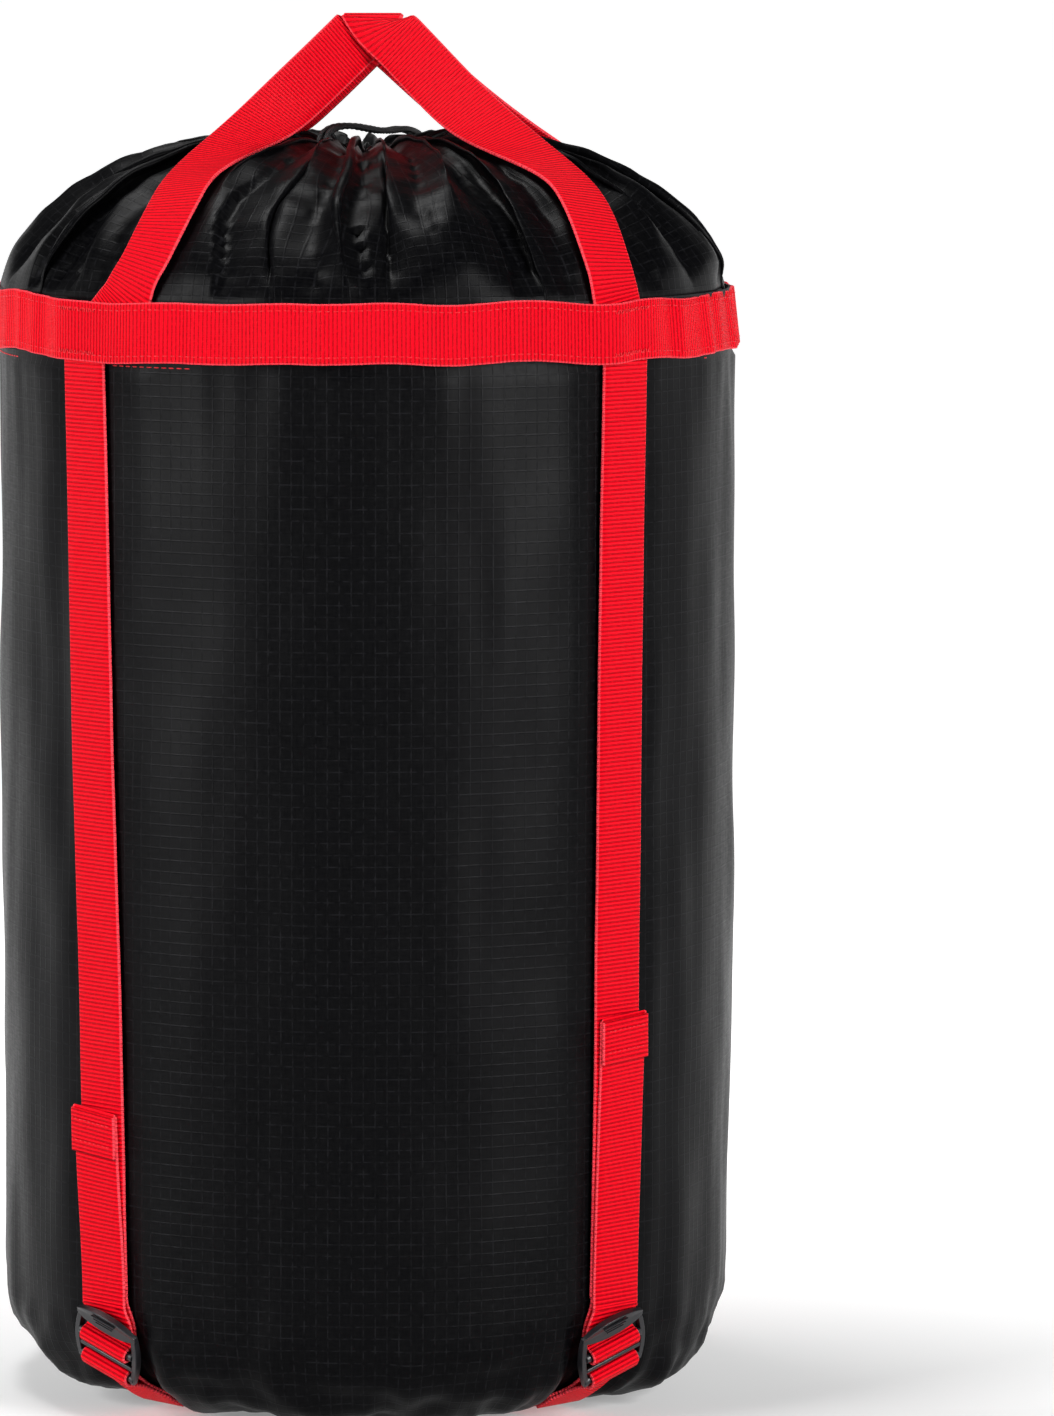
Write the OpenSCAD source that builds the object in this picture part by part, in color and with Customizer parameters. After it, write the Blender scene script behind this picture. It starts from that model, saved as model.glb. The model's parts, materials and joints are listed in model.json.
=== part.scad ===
// Compression sack with a drawn mouth, four compression straps and two carry loops.
// Origin: centre of the footprint, on the surface that the sack stands on. +Z up, front is -Y.
// Millimetres.

/* [Sack] */
// Outer diameter of the cloth body
sack_d = 320; // [260:1:390]
// Height of the shoulder ring's upper edge
shoulder_h = 482; // [400:1:580]
// Rise of the gathered top above the shoulder
top_rise = 64; // [50:1:80]
// Radius of the rounded edge round the base
edge_r = 55; // [45:0.1:66]
// Thickness of the cloth
cloth_t = 0.8; // [0.5:0.1:1.2]
// Height of the upper cloth tube's lower edge
tube_split = 262; // [240:2:300]
// How far the two cloth tubes overlap
tube_lap = 14; // [6:1:20]

/* [Webbing] */
// Width of all the webbing
web_w = 25.4; // [20:0.1:31]
// Thickness of all the webbing
web_t = 1.5; // [1:0.1:1.8]
// How far the shoulder ring stands out where it crosses a strap
ring_bump = 2.5; // [2.2:0.1:4]
// Length of the folded hem at a strap's free end
hem_l = 18; // [10:1:25]
// Height of the free end, front left strap
tail_top_fl = 136; // [110:1:220]
// Height of the free end, front right strap
tail_top_fr = 178; // [110:1:220]
// Height of the free end, back left strap
tail_top_bl = 152; // [110:1:220]
// Height of the free end, back right strap
tail_top_br = 166; // [110:1:220]
// How far the front left strap drifts from its ring end to its ladder lock, round the body
drift_fl = 12; // [0:0.5:15]
// How far the front right strap drifts the other way
drift_fr = 5; // [0:0.5:15]
// Length of a bar tack over a strap
tack_l = 20; // [10:1:24]

/* [Ladder lock] */
// Lean of the ladder lock from upright
lock_lean = 22; // [16:1:28]
// Where the anchor bar sits round the base edge, down from level
anchor_angle = 33; // [30:1:38]
// How far the webbing round the anchor bar stands off the plies under it
anchor_off = 0.2; // [0.2:0.1:2]
// Radius of the anchor bar
anchor_bar_r = 2; // [1.5:0.1:2.1]
// Radius of the middle bar, which the strap wraps
middle_bar_r = 1.9; // [1.5:0.1:2]
// Width of each side rail
rail_w = 3.3; // [2.5:0.1:4.5]
// Thickness of the side rails
rail_t = 5; // [4:0.2:6]
// Length of the pull tab at the lock's upper end
tab_l = 9.5; // [8:0.5:12]
// Thickness of the pull tab
tab_t = 3.5; // [2.5:0.1:4]

/* [Carry loops] */
// Height of the middle of the loops' peak above the shoulder
peak_rise = 106; // [95:1:140]
// Half the distance between the two loops at the peak
peak_off = 4; // [2:0.5:8]

/* [Drawcord and cord lock] */
// Diameter of the drawcord
cord_d = 3; // [2:0.2:3.2]
// Inner radius of the drawcord channel
channel_in = 15; // [12:0.5:16]
// Outer radius of the drawcord channel
channel_out = 27; // [26:0.5:32]
// Height of the drawcord channel
channel_h = 12; // [10:0.5:16]
// Radius of a knot
knot_r = 4.1; // [3:0.1:5]
// Outer radius of the cord lock's barrel
barrel_r = 5.2; // [4.9:0.1:5.4]
// Length of the cord lock's barrel
barrel_l = 20; // [19:0.5:24]
// Radius of the plunger
plunger_r = 3.5; // [3.2:0.1:4]
// How far the plunger's button stands out
button_l = 5; // [4.5:0.5:7]
// Travel of the plunger
press = 3.2; // [2:0.1:3.4]
// Wire diameter of the cord lock's spring
wire_d = 0.6; // [0.4:0.1:0.8]

/* [Fits] */
// Clearance between pieces that move past each other
gap = 0.3; // [0.2:0.1:0.5]
// Clearance between layers of webbing that are sewn together
ply_gap = 0.15; // [0.1:0.05:0.2]
// Radial clearance of the plunger in the barrel
plunger_fit = 0.1; // [0.05:0.01:0.1]
// Side clearance of the webbing between the ladder lock's rails
web_fit = 1; // [0.6:0.1:1.5]
// Slack of the webbing round the ladder lock's bars
bar_slack = 0.2; // [0.1:0.05:0.6]

/* [Hidden] */
$fn = 96;
sack_r = sack_d / 2;
ring_in = sack_r + gap;
ring_out = ring_in + web_t;
ring_z = shoulder_h - web_w;
lower_out = sack_r - cloth_t - 2 * gap;
edge_c = [lower_out - edge_r, 2 * web_t + gap + edge_r];
base_z = edge_c[1] - edge_r;
run_top = ring_z + web_w / 2;
tail_in = ring_out + gap;
tail_foot = edge_c[1];
cross_half = edge_c[0];

// Strap corners: name, direction of the strap's ring end and how far its foot drifts
CORNERS = [
    ["front_left", 225, drift_fl],
    ["front_right", 315, -drift_fr],
    ["back_left", 135, 0],
    ["back_right", 45, 0]
];

// Outline of the gathered top, outside of the cloth: shoulder to rim, then rim to channel
rim_r = 60;
rim = [rim_r, shoulder_h + top_rise];
top_outer = [
    [sack_r - cloth_t / 2, shoulder_h + 1],
    [0.95 * sack_r, shoulder_h + 0.47 * top_rise],
    [0.706 * sack_r, shoulder_h + 0.95 * top_rise],
    rim
];
top_inner = [
    rim,
    rim + [-12, 0.4],
    rim + [-22, -1],
    [channel_out + cloth_t / 2, rim[1] - 6]
];
channel_drop = 4;
channel_z = rim[1] - channel_drop - channel_h;
cord_r = cord_d / 2;
hem_cord_r = (channel_in + channel_out) / 2;
hem_cord_z = channel_z + channel_h / 2;

// Routes of the two free ends of the drawcord, from the channel to their knots
cord_left_route = [
    [-20.5, 9.5, 538], [-20.6, 9.6, 541.5], [-20.4, 10.4, 545], [-18.5, 13.4, 548.4],
    [-14.2, 18, 550.3], [-8.2, 23.4, 550.5], [-2.5, 29, 549.4], [2.6, 36, 548.2],
    [7, 46, 547.9], [10.8, 58, 548.2], [14, 71, 547.4], [17, 85, 545.2], [19.4, 98, 541.2],
    [21.2, 108, 539], [22, 115, 537.2], [22.3, 121.3, 534.4], [22.3, 128.8, 529.4],
    [22.3, 138, 523.2], [22.3, 147, 517.1], [22.3, 154.5, 510.5], [22.3, 160, 502.5],
    [22.3, 163.5, 493], [22.3, 164.8, 482], [22.3, 165, 470], [22.3, 164.8, 455],
    [22.3, 164.2, 435], [22, 163.8, 400], [21.5, 163.5, 360], [21, 163.5, 320],
    [20.5, 163.5, 285], [19, 163.5, 262], [18, 163.5, 250]
];
cord_right_route = [
    [-17.5, 6, 538], [-17.6, 6.1, 541.5], [-17.4, 6.9, 545], [-15.6, 9.8, 548.4],
    [-11.4, 14.6, 550.3], [-5.6, 20, 550.5], [0.2, 26, 549.4], [5.6, 33.6, 548.2],
    [10.4, 44.6, 547.9], [14.2, 57, 548.2], [17.4, 70.2, 547.4], [20.4, 84.4, 545.2],
    [22.8, 97.5, 541.2], [24.6, 107.7, 539], [25.4, 114.9, 537.2], [25.7, 121.3, 534.4],
    [25.7, 128.8, 529.4], [25.7, 138, 523.2], [25.7, 147, 517.1], [25.7, 154.5, 510.5],
    [25.7, 160, 502.5], [25.7, 163.5, 493], [25.7, 164.8, 482], [25.7, 165, 470],
    [25.7, 164.8, 455], [25.9, 164.2, 435], [26.8, 163.8, 400], [28, 163.5, 360],
    [29.5, 163.5, 320], [31, 163.5, 285], [32, 163.5, 266]
];
exit_hole_r = cord_r + 2 * gap + 0.1;

// Cord lock: its centre on the cords, the cords' slope there and the cords' spacing
lock_at = [24, 128.8, 529.4];
lock_slope = 34;
cord_pitch = 3.4;
cords_half = cord_pitch / 2 + cord_r;
slot_half = cord_r + gap;
barrel_end = -barrel_l / 2 - 1;
barrel_wall = 1.2;
plunger_wall = 1.3;
plunger_end = -cords_half - gap - plunger_wall;

// ---- helpers ----

// Point on a cubic Bezier curve
function bezier(p, t) = pow(1 - t, 3) * p[0] + 3 * t * pow(1 - t, 2) * p[1]
    + 3 * t * t * (1 - t) * p[2] + pow(t, 3) * p[3];

function unit(v) = v / norm(v);
function smooth(x) = x <= 0 ? 0 : x >= 1 ? 1 : x * x * (3 - 2 * x);
function polar(r, a) = [r * cos(a), r * sin(a)];

// Direction along a path at its point i
function along(path, i) = unit(path[min(i + 1, len(path) - 1)] - path[max(i - 1, 0)]);
function left_of(d) = [-d[1], d[0]];

// Outline of a band of thickness t whose middle follows a flat path
function band(path, t) = concat(
    [for (i = [0:len(path) - 1]) path[i] + left_of(along(path, i)) * t / 2],
    [for (i = [len(path) - 1:-1:0]) path[i] - left_of(along(path, i)) * t / 2]
);

// Stands a profile of radius and height upright in direction a, width w across it
module upright(a, w) {
    rotate([0, 0, a])
        rotate([90, 0, 0])
            linear_extrude(w, center = true)
                children();
}

// Direction of a corner's ladder lock, at the foot of its strap
function foot_angle(c) = c[1] + atan(c[2] / ring_in);

// Stands a strap's profile at corner c, leaning sideways from its ring end to its foot
module strap_band(c) {
    lean = atan(c[2] / (run_top - edge_c[1]));
    rotate([0, 0, c[1]])
        translate([0, 0, run_top])
            rotate([lean, 0, 0])
                translate([0, 0, -run_top])
                    upright(0, web_w)
                        children();
}

// Round tube swept along a route of points, with flat ends
module tube(route, r, sides) {
    n = len(route);
    rings = [for (i = [0:n - 1])
        let (d = along(route, i),
             side = unit(cross(d, abs(d[0]) < 0.8 ? [1, 0, 0] : [0, 1, 0])),
             up = cross(d, side))
        for (k = [0:sides - 1])
            route[i] + r * (cos(360 * k / sides) * side + sin(360 * k / sides) * up)];
    walls = [for (i = [0:n - 2], k = [0:sides - 1], half = [0, 1])
        let (a = i * sides + k, b = i * sides + (k + 1) % sides)
        half == 0 ? [a, a + sides, b + sides] : [a, b + sides, b]];
    first = [for (k = [0:sides - 1]) k];
    last = [for (k = [sides - 1:-1:0]) (n - 1) * sides + k];
    polyhedron(points = rings, faces = concat([first], walls, [last]));
}

// ---- base ----

module base_panel() {
    color("#1c1c1e")
        translate([0, 0, base_z])
            cylinder(r = edge_c[0], h = cloth_t);
}

// Tape over the base seam, inside the sack
module base_seam_binding() {
    tape_t = 1.2;
    tape_w = 4;
    color("#151517")
        translate([0, 0, base_z + cloth_t + ply_gap])
            difference() {
                cylinder(r = edge_c[0] - ply_gap, h = tape_w);
                translate([0, 0, -1])
                    cylinder(r = edge_c[0] - ply_gap - tape_t, h = tape_w + 2);
            }
}

module base_cross_strap_a() {
    color("#b00010")
        upright(45, web_w)
            translate([-cross_half, 0])
                square([2 * cross_half, web_t]);
}

// The second strap steps up over the first where they cross
module base_cross_strap_b() {
    low = web_t / 2;
    high = low + web_t + ply_gap / 2;
    over = web_w / 2 + 3;
    ramp = 6;
    half = [[cross_half, low], [over + ramp, low], [over, high]];
    color("#b00010")
        upright(135, web_w)
            polygon(band(concat(half, [for (i = [2:-1:0]) [-half[i][0], half[i][1]]]), web_t));
}

// ---- cloth body ----

module lower_wall() {
    mid_r = edge_r - cloth_t / 2;
    path = concat(
        [for (a = [90:-6:0]) edge_c + [mid_r * cos(a), -mid_r * sin(a)]],
        [[edge_c[0] + mid_r, tube_split + tube_lap]]
    );
    color("#1c1c1e")
        rotate_extrude()
            polygon(band(path, cloth_t));
}

module upper_wall() {
    color("#1f1f21")
        translate([0, 0, tube_split])
            difference() {
                cylinder(r = sack_r, h = shoulder_h - tube_split);
                translate([0, 0, -1])
                    cylinder(r = sack_r - cloth_t, h = shoulder_h - tube_split + 2);
            }
}

// Tape over the shoulder seam, inside the sack
module shoulder_seam_binding() {
    tape_w = 4;
    tape_out = sack_r - cloth_t - ply_gap;
    color("#151517")
        translate([0, 0, shoulder_h - tape_w - ply_gap])
            difference() {
                cylinder(r = tape_out, h = tape_w);
                translate([0, 0, -1])
                    cylinder(r = tape_out - cloth_t, h = tape_w + 2);
            }
}

module gathered_top() {
    steps = 12;
    path = concat(
        [[sack_r - cloth_t / 2, shoulder_h]],
        [for (i = [0:steps]) bezier(top_outer, i / steps)],
        [for (i = [1:steps / 2]) bezier(top_inner, 2 * i / steps)]
    );
    color("#1f1f21")
        rotate_extrude()
            polygon(band(path, cloth_t));
}

// ---- shoulder ring ----

// Angle from a direction to the nearest strap
function off_strap(a) = abs(((a % 90) + 90) % 90 - 45);

module shoulder_ring() {
    step = 2.25;
    flat = atan(web_w / 2 / sack_r);
    ramp = 2 * step;
    turn = [for (i = [0:360 / step - 1]) i * step];
    lift = [for (a = turn) ring_bump * smooth((flat + ramp - off_strap(a)) / ramp)];
    color("#e00014")
        translate([0, 0, ring_z])
            linear_extrude(web_w)
                difference() {
                    polygon([for (i = [0:len(turn) - 1]) polar(ring_out + lift[i], turn[i])]);
                    polygon([for (i = [0:len(turn) - 1]) polar(ring_in + lift[i], turn[i])]);
                }
}

// Thread bars through the ring, over each strap
module strap_bar_tacks() {
    thread_t = 0.3;
    thread_w = 1.6;
    inset = 3;
    for (c = CORNERS, z = [ring_z + inset, shoulder_h - inset - thread_w])
        color("#c00012")
            rotate([0, 0, c[1]])
                translate([ring_out + ring_bump + thread_t / 3, -tack_l / 2, z])
                    cube([thread_t, tack_l, thread_w]);
}

// ---- drawcord channel and drawcord ----

module drawcord_channel() {
    color("#1f1f21")
        difference() {
            rotate_extrude()
                translate([channel_in, channel_z])
                    difference() {
                        square([channel_out - channel_in, channel_h]);
                        translate([cloth_t, cloth_t])
                            square([channel_out - channel_in - 2 * cloth_t,
                                    channel_h - 2 * cloth_t]);
                    }
            for (route = [cord_left_route, cord_right_route])
                translate([route[0][0], route[0][1], hem_cord_z + cord_r + 1])
                    cylinder(r = exit_hole_r, h = channel_h);
        }
}

module drawcord_in_channel() {
    color("#111111")
        translate([0, 0, hem_cord_z])
            rotate_extrude()
                translate([hem_cord_r, 0])
                    circle(r = cord_r);
}

module drawcord(route) {
    color("#111111")
        tube(route, cord_r, 8);
}

module cord_knot(end) {
    stub = 5;
    color("#111111")
        translate([end[0], end[1], end[2] - knot_r]) {
            sphere(r = knot_r, $fn = 32);
            translate([0, 0, -knot_r - stub / 2])
                cylinder(r = cord_r, h = knot_r + stub / 2, $fn = 32);
        }
}

// ---- cord lock: the barrel lies along X, the cords cross it along local Y ----

module at_cord_lock() {
    translate(lock_at)
        rotate([-lock_slope, 0, 0])
            children();
}

// A cylinder along local X from x0, length l
module along_x(x0, r, l) {
    translate([x0, 0, 0])
        rotate([0, 90, 0])
            cylinder(r = r, h = l);
}

// A slot through the barrel along local Y, from x0 to x1
module cord_slot(x0, x1) {
    translate([x0, -barrel_r - 1, -slot_half])
        cube([x1 - x0, 2 * barrel_r + 2, 2 * slot_half]);
}

module cord_lock_barrel() {
    color("#18181a")
        at_cord_lock()
            difference() {
                along_x(barrel_end, barrel_r, barrel_l);
                along_x(barrel_end + barrel_wall, plunger_r + plunger_fit, barrel_l);
                cord_slot(plunger_end, cords_half + gap);
            }
}

module cord_lock_plunger() {
    barrel_mouth = barrel_end + barrel_l;
    color("#202022")
        at_cord_lock()
            difference() {
                along_x(plunger_end, plunger_r, barrel_mouth + button_l - plunger_end);
                cord_slot(-cords_half - gap, cords_half + gap + press);
            }
}

module cord_lock_spring() {
    turns = 3;
    per_turn = 12;
    coil_r = plunger_r - 1;
    seat = 0.05;
    x0 = barrel_end + barrel_wall + wire_d / 2 + seat;
    x1 = plunger_end - wire_d / 2 - seat;
    route = [for (i = [0:turns * per_turn])
        let (a = 360 * i / per_turn)
        [x0 + (x1 - x0) * i / (turns * per_turn), coil_r * cos(a), coil_r * sin(a)]];
    color("#9a9a9a")
        at_cord_lock()
            tube(route, wire_d / 2, 6);
}

// ---- carry loops ----

function turned(p, a) = [p[0] * cos(a) - p[1] * sin(a), p[0] * sin(a) + p[1] * cos(a), p[2]];

// Stations of the front loop's right half: middle of the webbing and its width direction.
// The leg lies on the gathered top, then leaves it and twists on its way to the peak.
module carry_loop() {
    lie = web_t / 2 + cloth_t / 2 + 3 * gap;
    leave = 0.74;
    half_step = 0.02;
    peak_h = shoulder_h + peak_rise;
    fold_half = 12;
    fold_drop = 5;
    lying = [for (t = [0.04, 0.12, 0.22, 0.34, 0.48, 0.62, leave])
        let (p = bezier(top_outer, t),
             d = unit(bezier(top_outer, t + half_step) - bezier(top_outer, t - half_step)),
             q = p + [d[1], -d[0]] * lie)
        [turned([q[0], 0, q[1]], -45), turned([0, 1, 0], -45)]];
    away = lying[len(lying) - 1];
    near_peak = [fold_half, -peak_off - 1, peak_h - fold_drop];
    peak_side = unit([0.64, 0, 0.77]);
    rising = [for (s = [0.25, 0.5, 0.75, 1])
        [away[0] + (near_peak - away[0]) * s, unit(away[1] + (peak_side - away[1]) * s)]];
    right = concat(lying, rising);
    left = [for (i = [len(right) - 1:-1:0])
        [[-right[i][0][0], right[i][0][1], right[i][0][2]],
         [-right[i][1][0], right[i][1][1], right[i][1][2]]]];
    // the width turns over between the two halves, so the left half's is kept as mirrored
    stations = concat(right, [[[0, -peak_off, peak_h], [0, 0, 1]]], left);
    n = len(stations);
    middles = [for (s = stations) s[0]];
    corners = [for (i = [0:n - 1])
        let (d = along(middles, i),
             w = stations[i][1] * web_w / 2,
             face = unit(cross(d, w)) * web_t / 2)
        for (c = [w + face, w - face, -w - face, -w + face]) middles[i] + c];
    walls = [for (i = [0:n - 2], k = [0:3], half = [0, 1])
        let (a = 4 * i + k, b = 4 * i + (k + 1) % 4)
        half == 0 ? [a, b, a + 4] : [b, b + 4, a + 4]];
    ends = [[0, 2, 1], [0, 3, 2],
            [4 * n - 4, 4 * n - 3, 4 * n - 2], [4 * n - 4, 4 * n - 2, 4 * n - 1]];
    color("#e00014")
        polyhedron(points = corners, faces = concat(walls, ends));
}

// ---- strap parts at one corner ----

function tail_top(name) =
    name == "front_left" ? tail_top_fl :
    name == "front_right" ? tail_top_fr :
    name == "back_left" ? tail_top_bl : tail_top_br;

function at_edge(r, a) = edge_c + [r * cos(a), -r * sin(a)];

anchor_wrap_r = anchor_bar_r + bar_slack + web_t / 2;
two_plies = 2 * (ply_gap + web_t);
bar_at = edge_r + two_plies + anchor_off + web_t / 2 + anchor_wrap_r;
anchor = at_edge(bar_at, anchor_angle);
lock_up = [sin(lock_lean), cos(lock_lean)];
lock_out = [cos(lock_lean), -sin(lock_lean)];
middle_bar = [13, 0.8];
tab_from = 19.5;
tab_v = 0.55;

// A point of the ladder lock's own frame, u up along it and v outward, and the way back
function in_lock(p) = anchor + p[0] * lock_up + p[1] * lock_out;
function to_lock(q) = [(q - anchor) * lock_up, (q - anchor) * lock_out];

// Webbing sewn under the base edge, up round the anchor bar and back on itself
module anchor_loop(a) {
    ply = edge_r + ply_gap + web_t / 2;
    over = ply + web_t + ply_gap;
    lap = 25;
    sewn_to = 66;
    leaves = 9;
    lands = 13;
    // from under the base to the bar, round it, and back down over the first ply
    up = [at_edge(bar_at - anchor_wrap_r - 2.3, anchor_angle + 5.5)];
    down = [
        at_edge(bar_at + 2.1, anchor_angle + 3.2),
        at_edge(bar_at - 0.6, anchor_angle + 6),
        at_edge(over + 1.2, anchor_angle + 9.5)
    ];
    path = concat(
        [[edge_c[0] - lap, edge_c[1] - ply]],
        [for (t = [90:-4:anchor_angle + leaves]) at_edge(ply, t)],
        up,
        [for (t = [0:20:180]) anchor - anchor_wrap_r * polar(1, -anchor_angle - t)],
        down,
        [for (t = [anchor_angle + lands:4:sewn_to]) at_edge(over, t)]
    );
    color("#b00010")
        upright(a, web_w)
            polygon(band(path, web_t));
}

module ladder_lock(a) {
    inner = web_w + web_fit;
    tip = tab_from + tab_l;
    color("#161618") {
        // side rails
        for (side = [-1, 1])
            rotate([0, 0, a])
                translate([0, side * (inner + rail_w) / 2, 0])
                    rotate([90, 0, 0])
                        linear_extrude(rail_w, center = true)
                            translate(anchor)
                                rotate(90 - lock_lean) {
                                    circle(r = rail_t / 2);
                                    translate([0, -rail_t / 2])
                                        square([tip - tab_t / 2, rail_t]);
                                }
        // bars and pull tab
        upright(a, inner + 2 * rail_w)
            translate(anchor)
                circle(r = anchor_bar_r);
        upright(a, inner + gap)
            translate(in_lock(middle_bar))
                circle(r = middle_bar_r);
        upright(a, inner + 2 * rail_w)
            translate(anchor)
                rotate(90 - lock_lean) {
                    translate([tab_from + tab_t / 2, -tab_v - tab_t / 2])
                        square([tab_l - tab_t, tab_t]);
                    for (u = [tab_from + tab_t / 2, tip - tab_t / 2])
                        translate([u, -tab_v])
                            circle(r = tab_t / 2);
                }
    }
}

// The strap's turn through the ladder lock: down behind the tab, round the middle bar
// and up again between the tab and itself
module strap_wrap(a) {
    slack = bar_slack + 0.35;
    wrap_r = middle_bar_r + web_t / 2 + slack;
    under_tab = tab_v - tab_t / 2 - web_t / 2 - 0.45;
    behind = under_tab - web_t;
    from_run = to_lock([ring_in + web_t / 2, edge_c[1] - 2.6]);
    to_tail = to_lock([tail_in + web_t / 2 - gap, edge_c[1] - 6.4]);
    path = concat(
        [from_run, [tab_from - 1.5, behind], [middle_bar[0] + 1, behind + 0.4],
         [middle_bar[0] - 1.6, behind + 1.4]],
        [for (t = [210:-30:-20]) middle_bar + polar(wrap_r, t)],
        [[tab_from - 2.3, under_tab + 0.8], [tab_from - 0.5, under_tab + 0.2],
         [tab_from + 1.5, under_tab], [tab_from + 4.5, under_tab - 0.5], to_tail]
    );
    color("#e00014")
        upright(a, web_w)
            polygon(band([for (p = path) in_lock(p)], web_t));
}

module strap_run(c) {
    color("#e00014")
        strap_band(c)
            translate([ring_in, edge_c[1]])
                square([web_t, run_top - edge_c[1]]);
}

module strap_tail(c, top) {
    color("#e00014")
        strap_band(c) {
            translate([tail_in, tail_foot])
                square([web_t, top - tail_foot]);
            translate([tail_in, top - hem_l])
                square([2 * web_t, hem_l]);
        }
}

// ---- nodes ----

base_panel();
base_seam_binding();
base_cross_strap_a();
base_cross_strap_b();
lower_wall();
upper_wall();
shoulder_seam_binding();
shoulder_ring();
strap_bar_tacks();
gathered_top();
drawcord_channel();
drawcord_in_channel();
drawcord(cord_left_route);  // drawcord_left
drawcord(cord_right_route);  // drawcord_right
cord_knot(cord_left_route[len(cord_left_route) - 1]);  // cord_knot_left
cord_knot(cord_right_route[len(cord_right_route) - 1]);  // cord_knot_right
cord_lock_barrel();
cord_lock_plunger();
cord_lock_spring();
carry_loop();  // carry_loop_front
rotate([0, 0, 180]) carry_loop();  // carry_loop_back
for (c = CORNERS) {
    anchor_loop(foot_angle(c));
    ladder_lock(foot_angle(c));
    strap_wrap(foot_angle(c));
    strap_run(c);
    strap_tail(c, tail_top(c[0]));
}
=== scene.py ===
# Compression sack: coated ripstop body, gathered top, red webbing, ladder locks and drawcord.
# Metres, in the frame's own axes: +Z up, the front is -Y, the four straps on the diagonals.
import json
import math
import random

import bmesh
import bpy
from mathutils import Matrix, Vector, noise


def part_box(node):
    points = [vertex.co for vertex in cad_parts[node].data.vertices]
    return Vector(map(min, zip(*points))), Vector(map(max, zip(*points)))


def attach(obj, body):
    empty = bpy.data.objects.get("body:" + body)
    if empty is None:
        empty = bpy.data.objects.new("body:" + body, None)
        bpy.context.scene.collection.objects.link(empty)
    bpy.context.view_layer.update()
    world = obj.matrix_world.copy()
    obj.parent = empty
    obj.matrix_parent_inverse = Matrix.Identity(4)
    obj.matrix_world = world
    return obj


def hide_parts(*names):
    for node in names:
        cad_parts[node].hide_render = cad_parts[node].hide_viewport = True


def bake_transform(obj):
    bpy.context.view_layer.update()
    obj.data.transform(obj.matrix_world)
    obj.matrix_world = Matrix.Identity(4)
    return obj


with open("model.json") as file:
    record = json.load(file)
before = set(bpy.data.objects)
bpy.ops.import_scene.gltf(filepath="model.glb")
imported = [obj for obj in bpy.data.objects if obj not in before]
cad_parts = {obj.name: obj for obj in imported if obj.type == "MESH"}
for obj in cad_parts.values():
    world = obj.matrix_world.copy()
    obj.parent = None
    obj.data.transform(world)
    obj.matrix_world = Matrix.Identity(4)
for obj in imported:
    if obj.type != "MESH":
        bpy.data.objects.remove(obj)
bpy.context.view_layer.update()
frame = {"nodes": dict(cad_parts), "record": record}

# ---- sizes, from the frame ----

MM = 0.001
TAU = 2 * math.pi
BODY_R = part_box("upper_wall")[1][0]
SHOULDER_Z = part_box("upper_wall")[1][2]
BASE_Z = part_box("base_panel")[0][2]
BASE_SEAM_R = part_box("base_panel")[1][0]
RING_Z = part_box("shoulder_ring")[0][2]
CHANNEL_LO, CHANNEL_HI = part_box("drawcord_channel")
WEB_W = SHOULDER_Z - RING_Z
WEB_T = 1.5 * MM
CORD_D = 3 * MM
# inside of the straps where they lie on the body, and the height that they start from
RUN_IN = BODY_R + 0.3 * MM
RUN_TOP = RING_Z + WEB_W / 2
# the rounded base edge: its radius, the height and distance that it turns about, its length
EDGE_R = 55 * MM
EDGE_Z = BASE_Z + EDGE_R
EDGE_C = BASE_SEAM_R
EDGE_ARC = EDGE_R * math.pi / 2
# the middle of the mouth hem's section
MOUTH_R = 15 * MM
HEM_R = (CHANNEL_HI[0] + MOUTH_R) / 2
HEM_Z = (CHANNEL_LO[2] + CHANNEL_HI[2]) / 2
LOCK_LEAN = math.radians(22)
# height of a lock's middle bar above its anchor bar
MIDDLE_BAR_UP = 13 * MM

# Each strap: direction of its ring end and how far its foot drifts round the body
STRAPS = {
    "front_left": (math.radians(225), 12 * MM),
    "front_right": (math.radians(315), -5 * MM),
    "back_left": (math.radians(135), 0.0),
    "back_right": (math.radians(45), 0.0),
}
JOINTS = {joint["name"]: joint for joint in frame["record"]["behaviour"]["joints"]}
UP = Vector((0, 0, 1))


def add_object(name, data):
    item = bpy.data.objects.new(name, data)
    bpy.context.scene.collection.objects.link(item)
    return item


def outward(angle):
    return Vector((math.cos(angle), math.sin(angle), 0))


def around(angle):
    return Vector((-math.sin(angle), math.cos(angle), 0))


def smooth(x):
    x = min(1.0, max(0.0, x))
    return x * x * (3 - 2 * x)


def angle_gap(a, b):
    """Smallest turn between two directions."""
    return abs((a - b + math.pi) % TAU - math.pi)


def foot_angle(corner):
    angle, drift = STRAPS[corner]
    return angle + math.atan(drift / RUN_IN)


def strap_angle(corner, z):
    """Direction of a strap's middle at height z."""
    angle, drift = STRAPS[corner]
    share = (RUN_TOP - max(z, EDGE_Z)) / (RUN_TOP - EDGE_Z)
    return angle + math.atan(drift * max(0.0, share) / RUN_IN)


# ---- camera ----

VIEW_DISTANCE = 3.0
VIEW_TILT = math.radians(6.5)
VIEW_TURN = math.radians(2.5)
AIM = Vector((0, 0, 0.2958))


def make_camera():
    data = bpy.data.cameras.new("camera")
    data.lens = 173.3
    data.sensor_width = 36
    data.shift_x = 0.114
    data.clip_end = 500
    camera = add_object("camera", data)
    back = Vector((
        math.sin(VIEW_TURN) * math.cos(VIEW_TILT),
        -math.cos(VIEW_TURN) * math.cos(VIEW_TILT),
        math.sin(VIEW_TILT),
    ))
    camera.location = AIM + back * VIEW_DISTANCE
    camera.rotation_euler = back.to_track_quat("Z", "Y").to_euler()
    bpy.context.scene.camera = camera


# ---- materials ----

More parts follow.
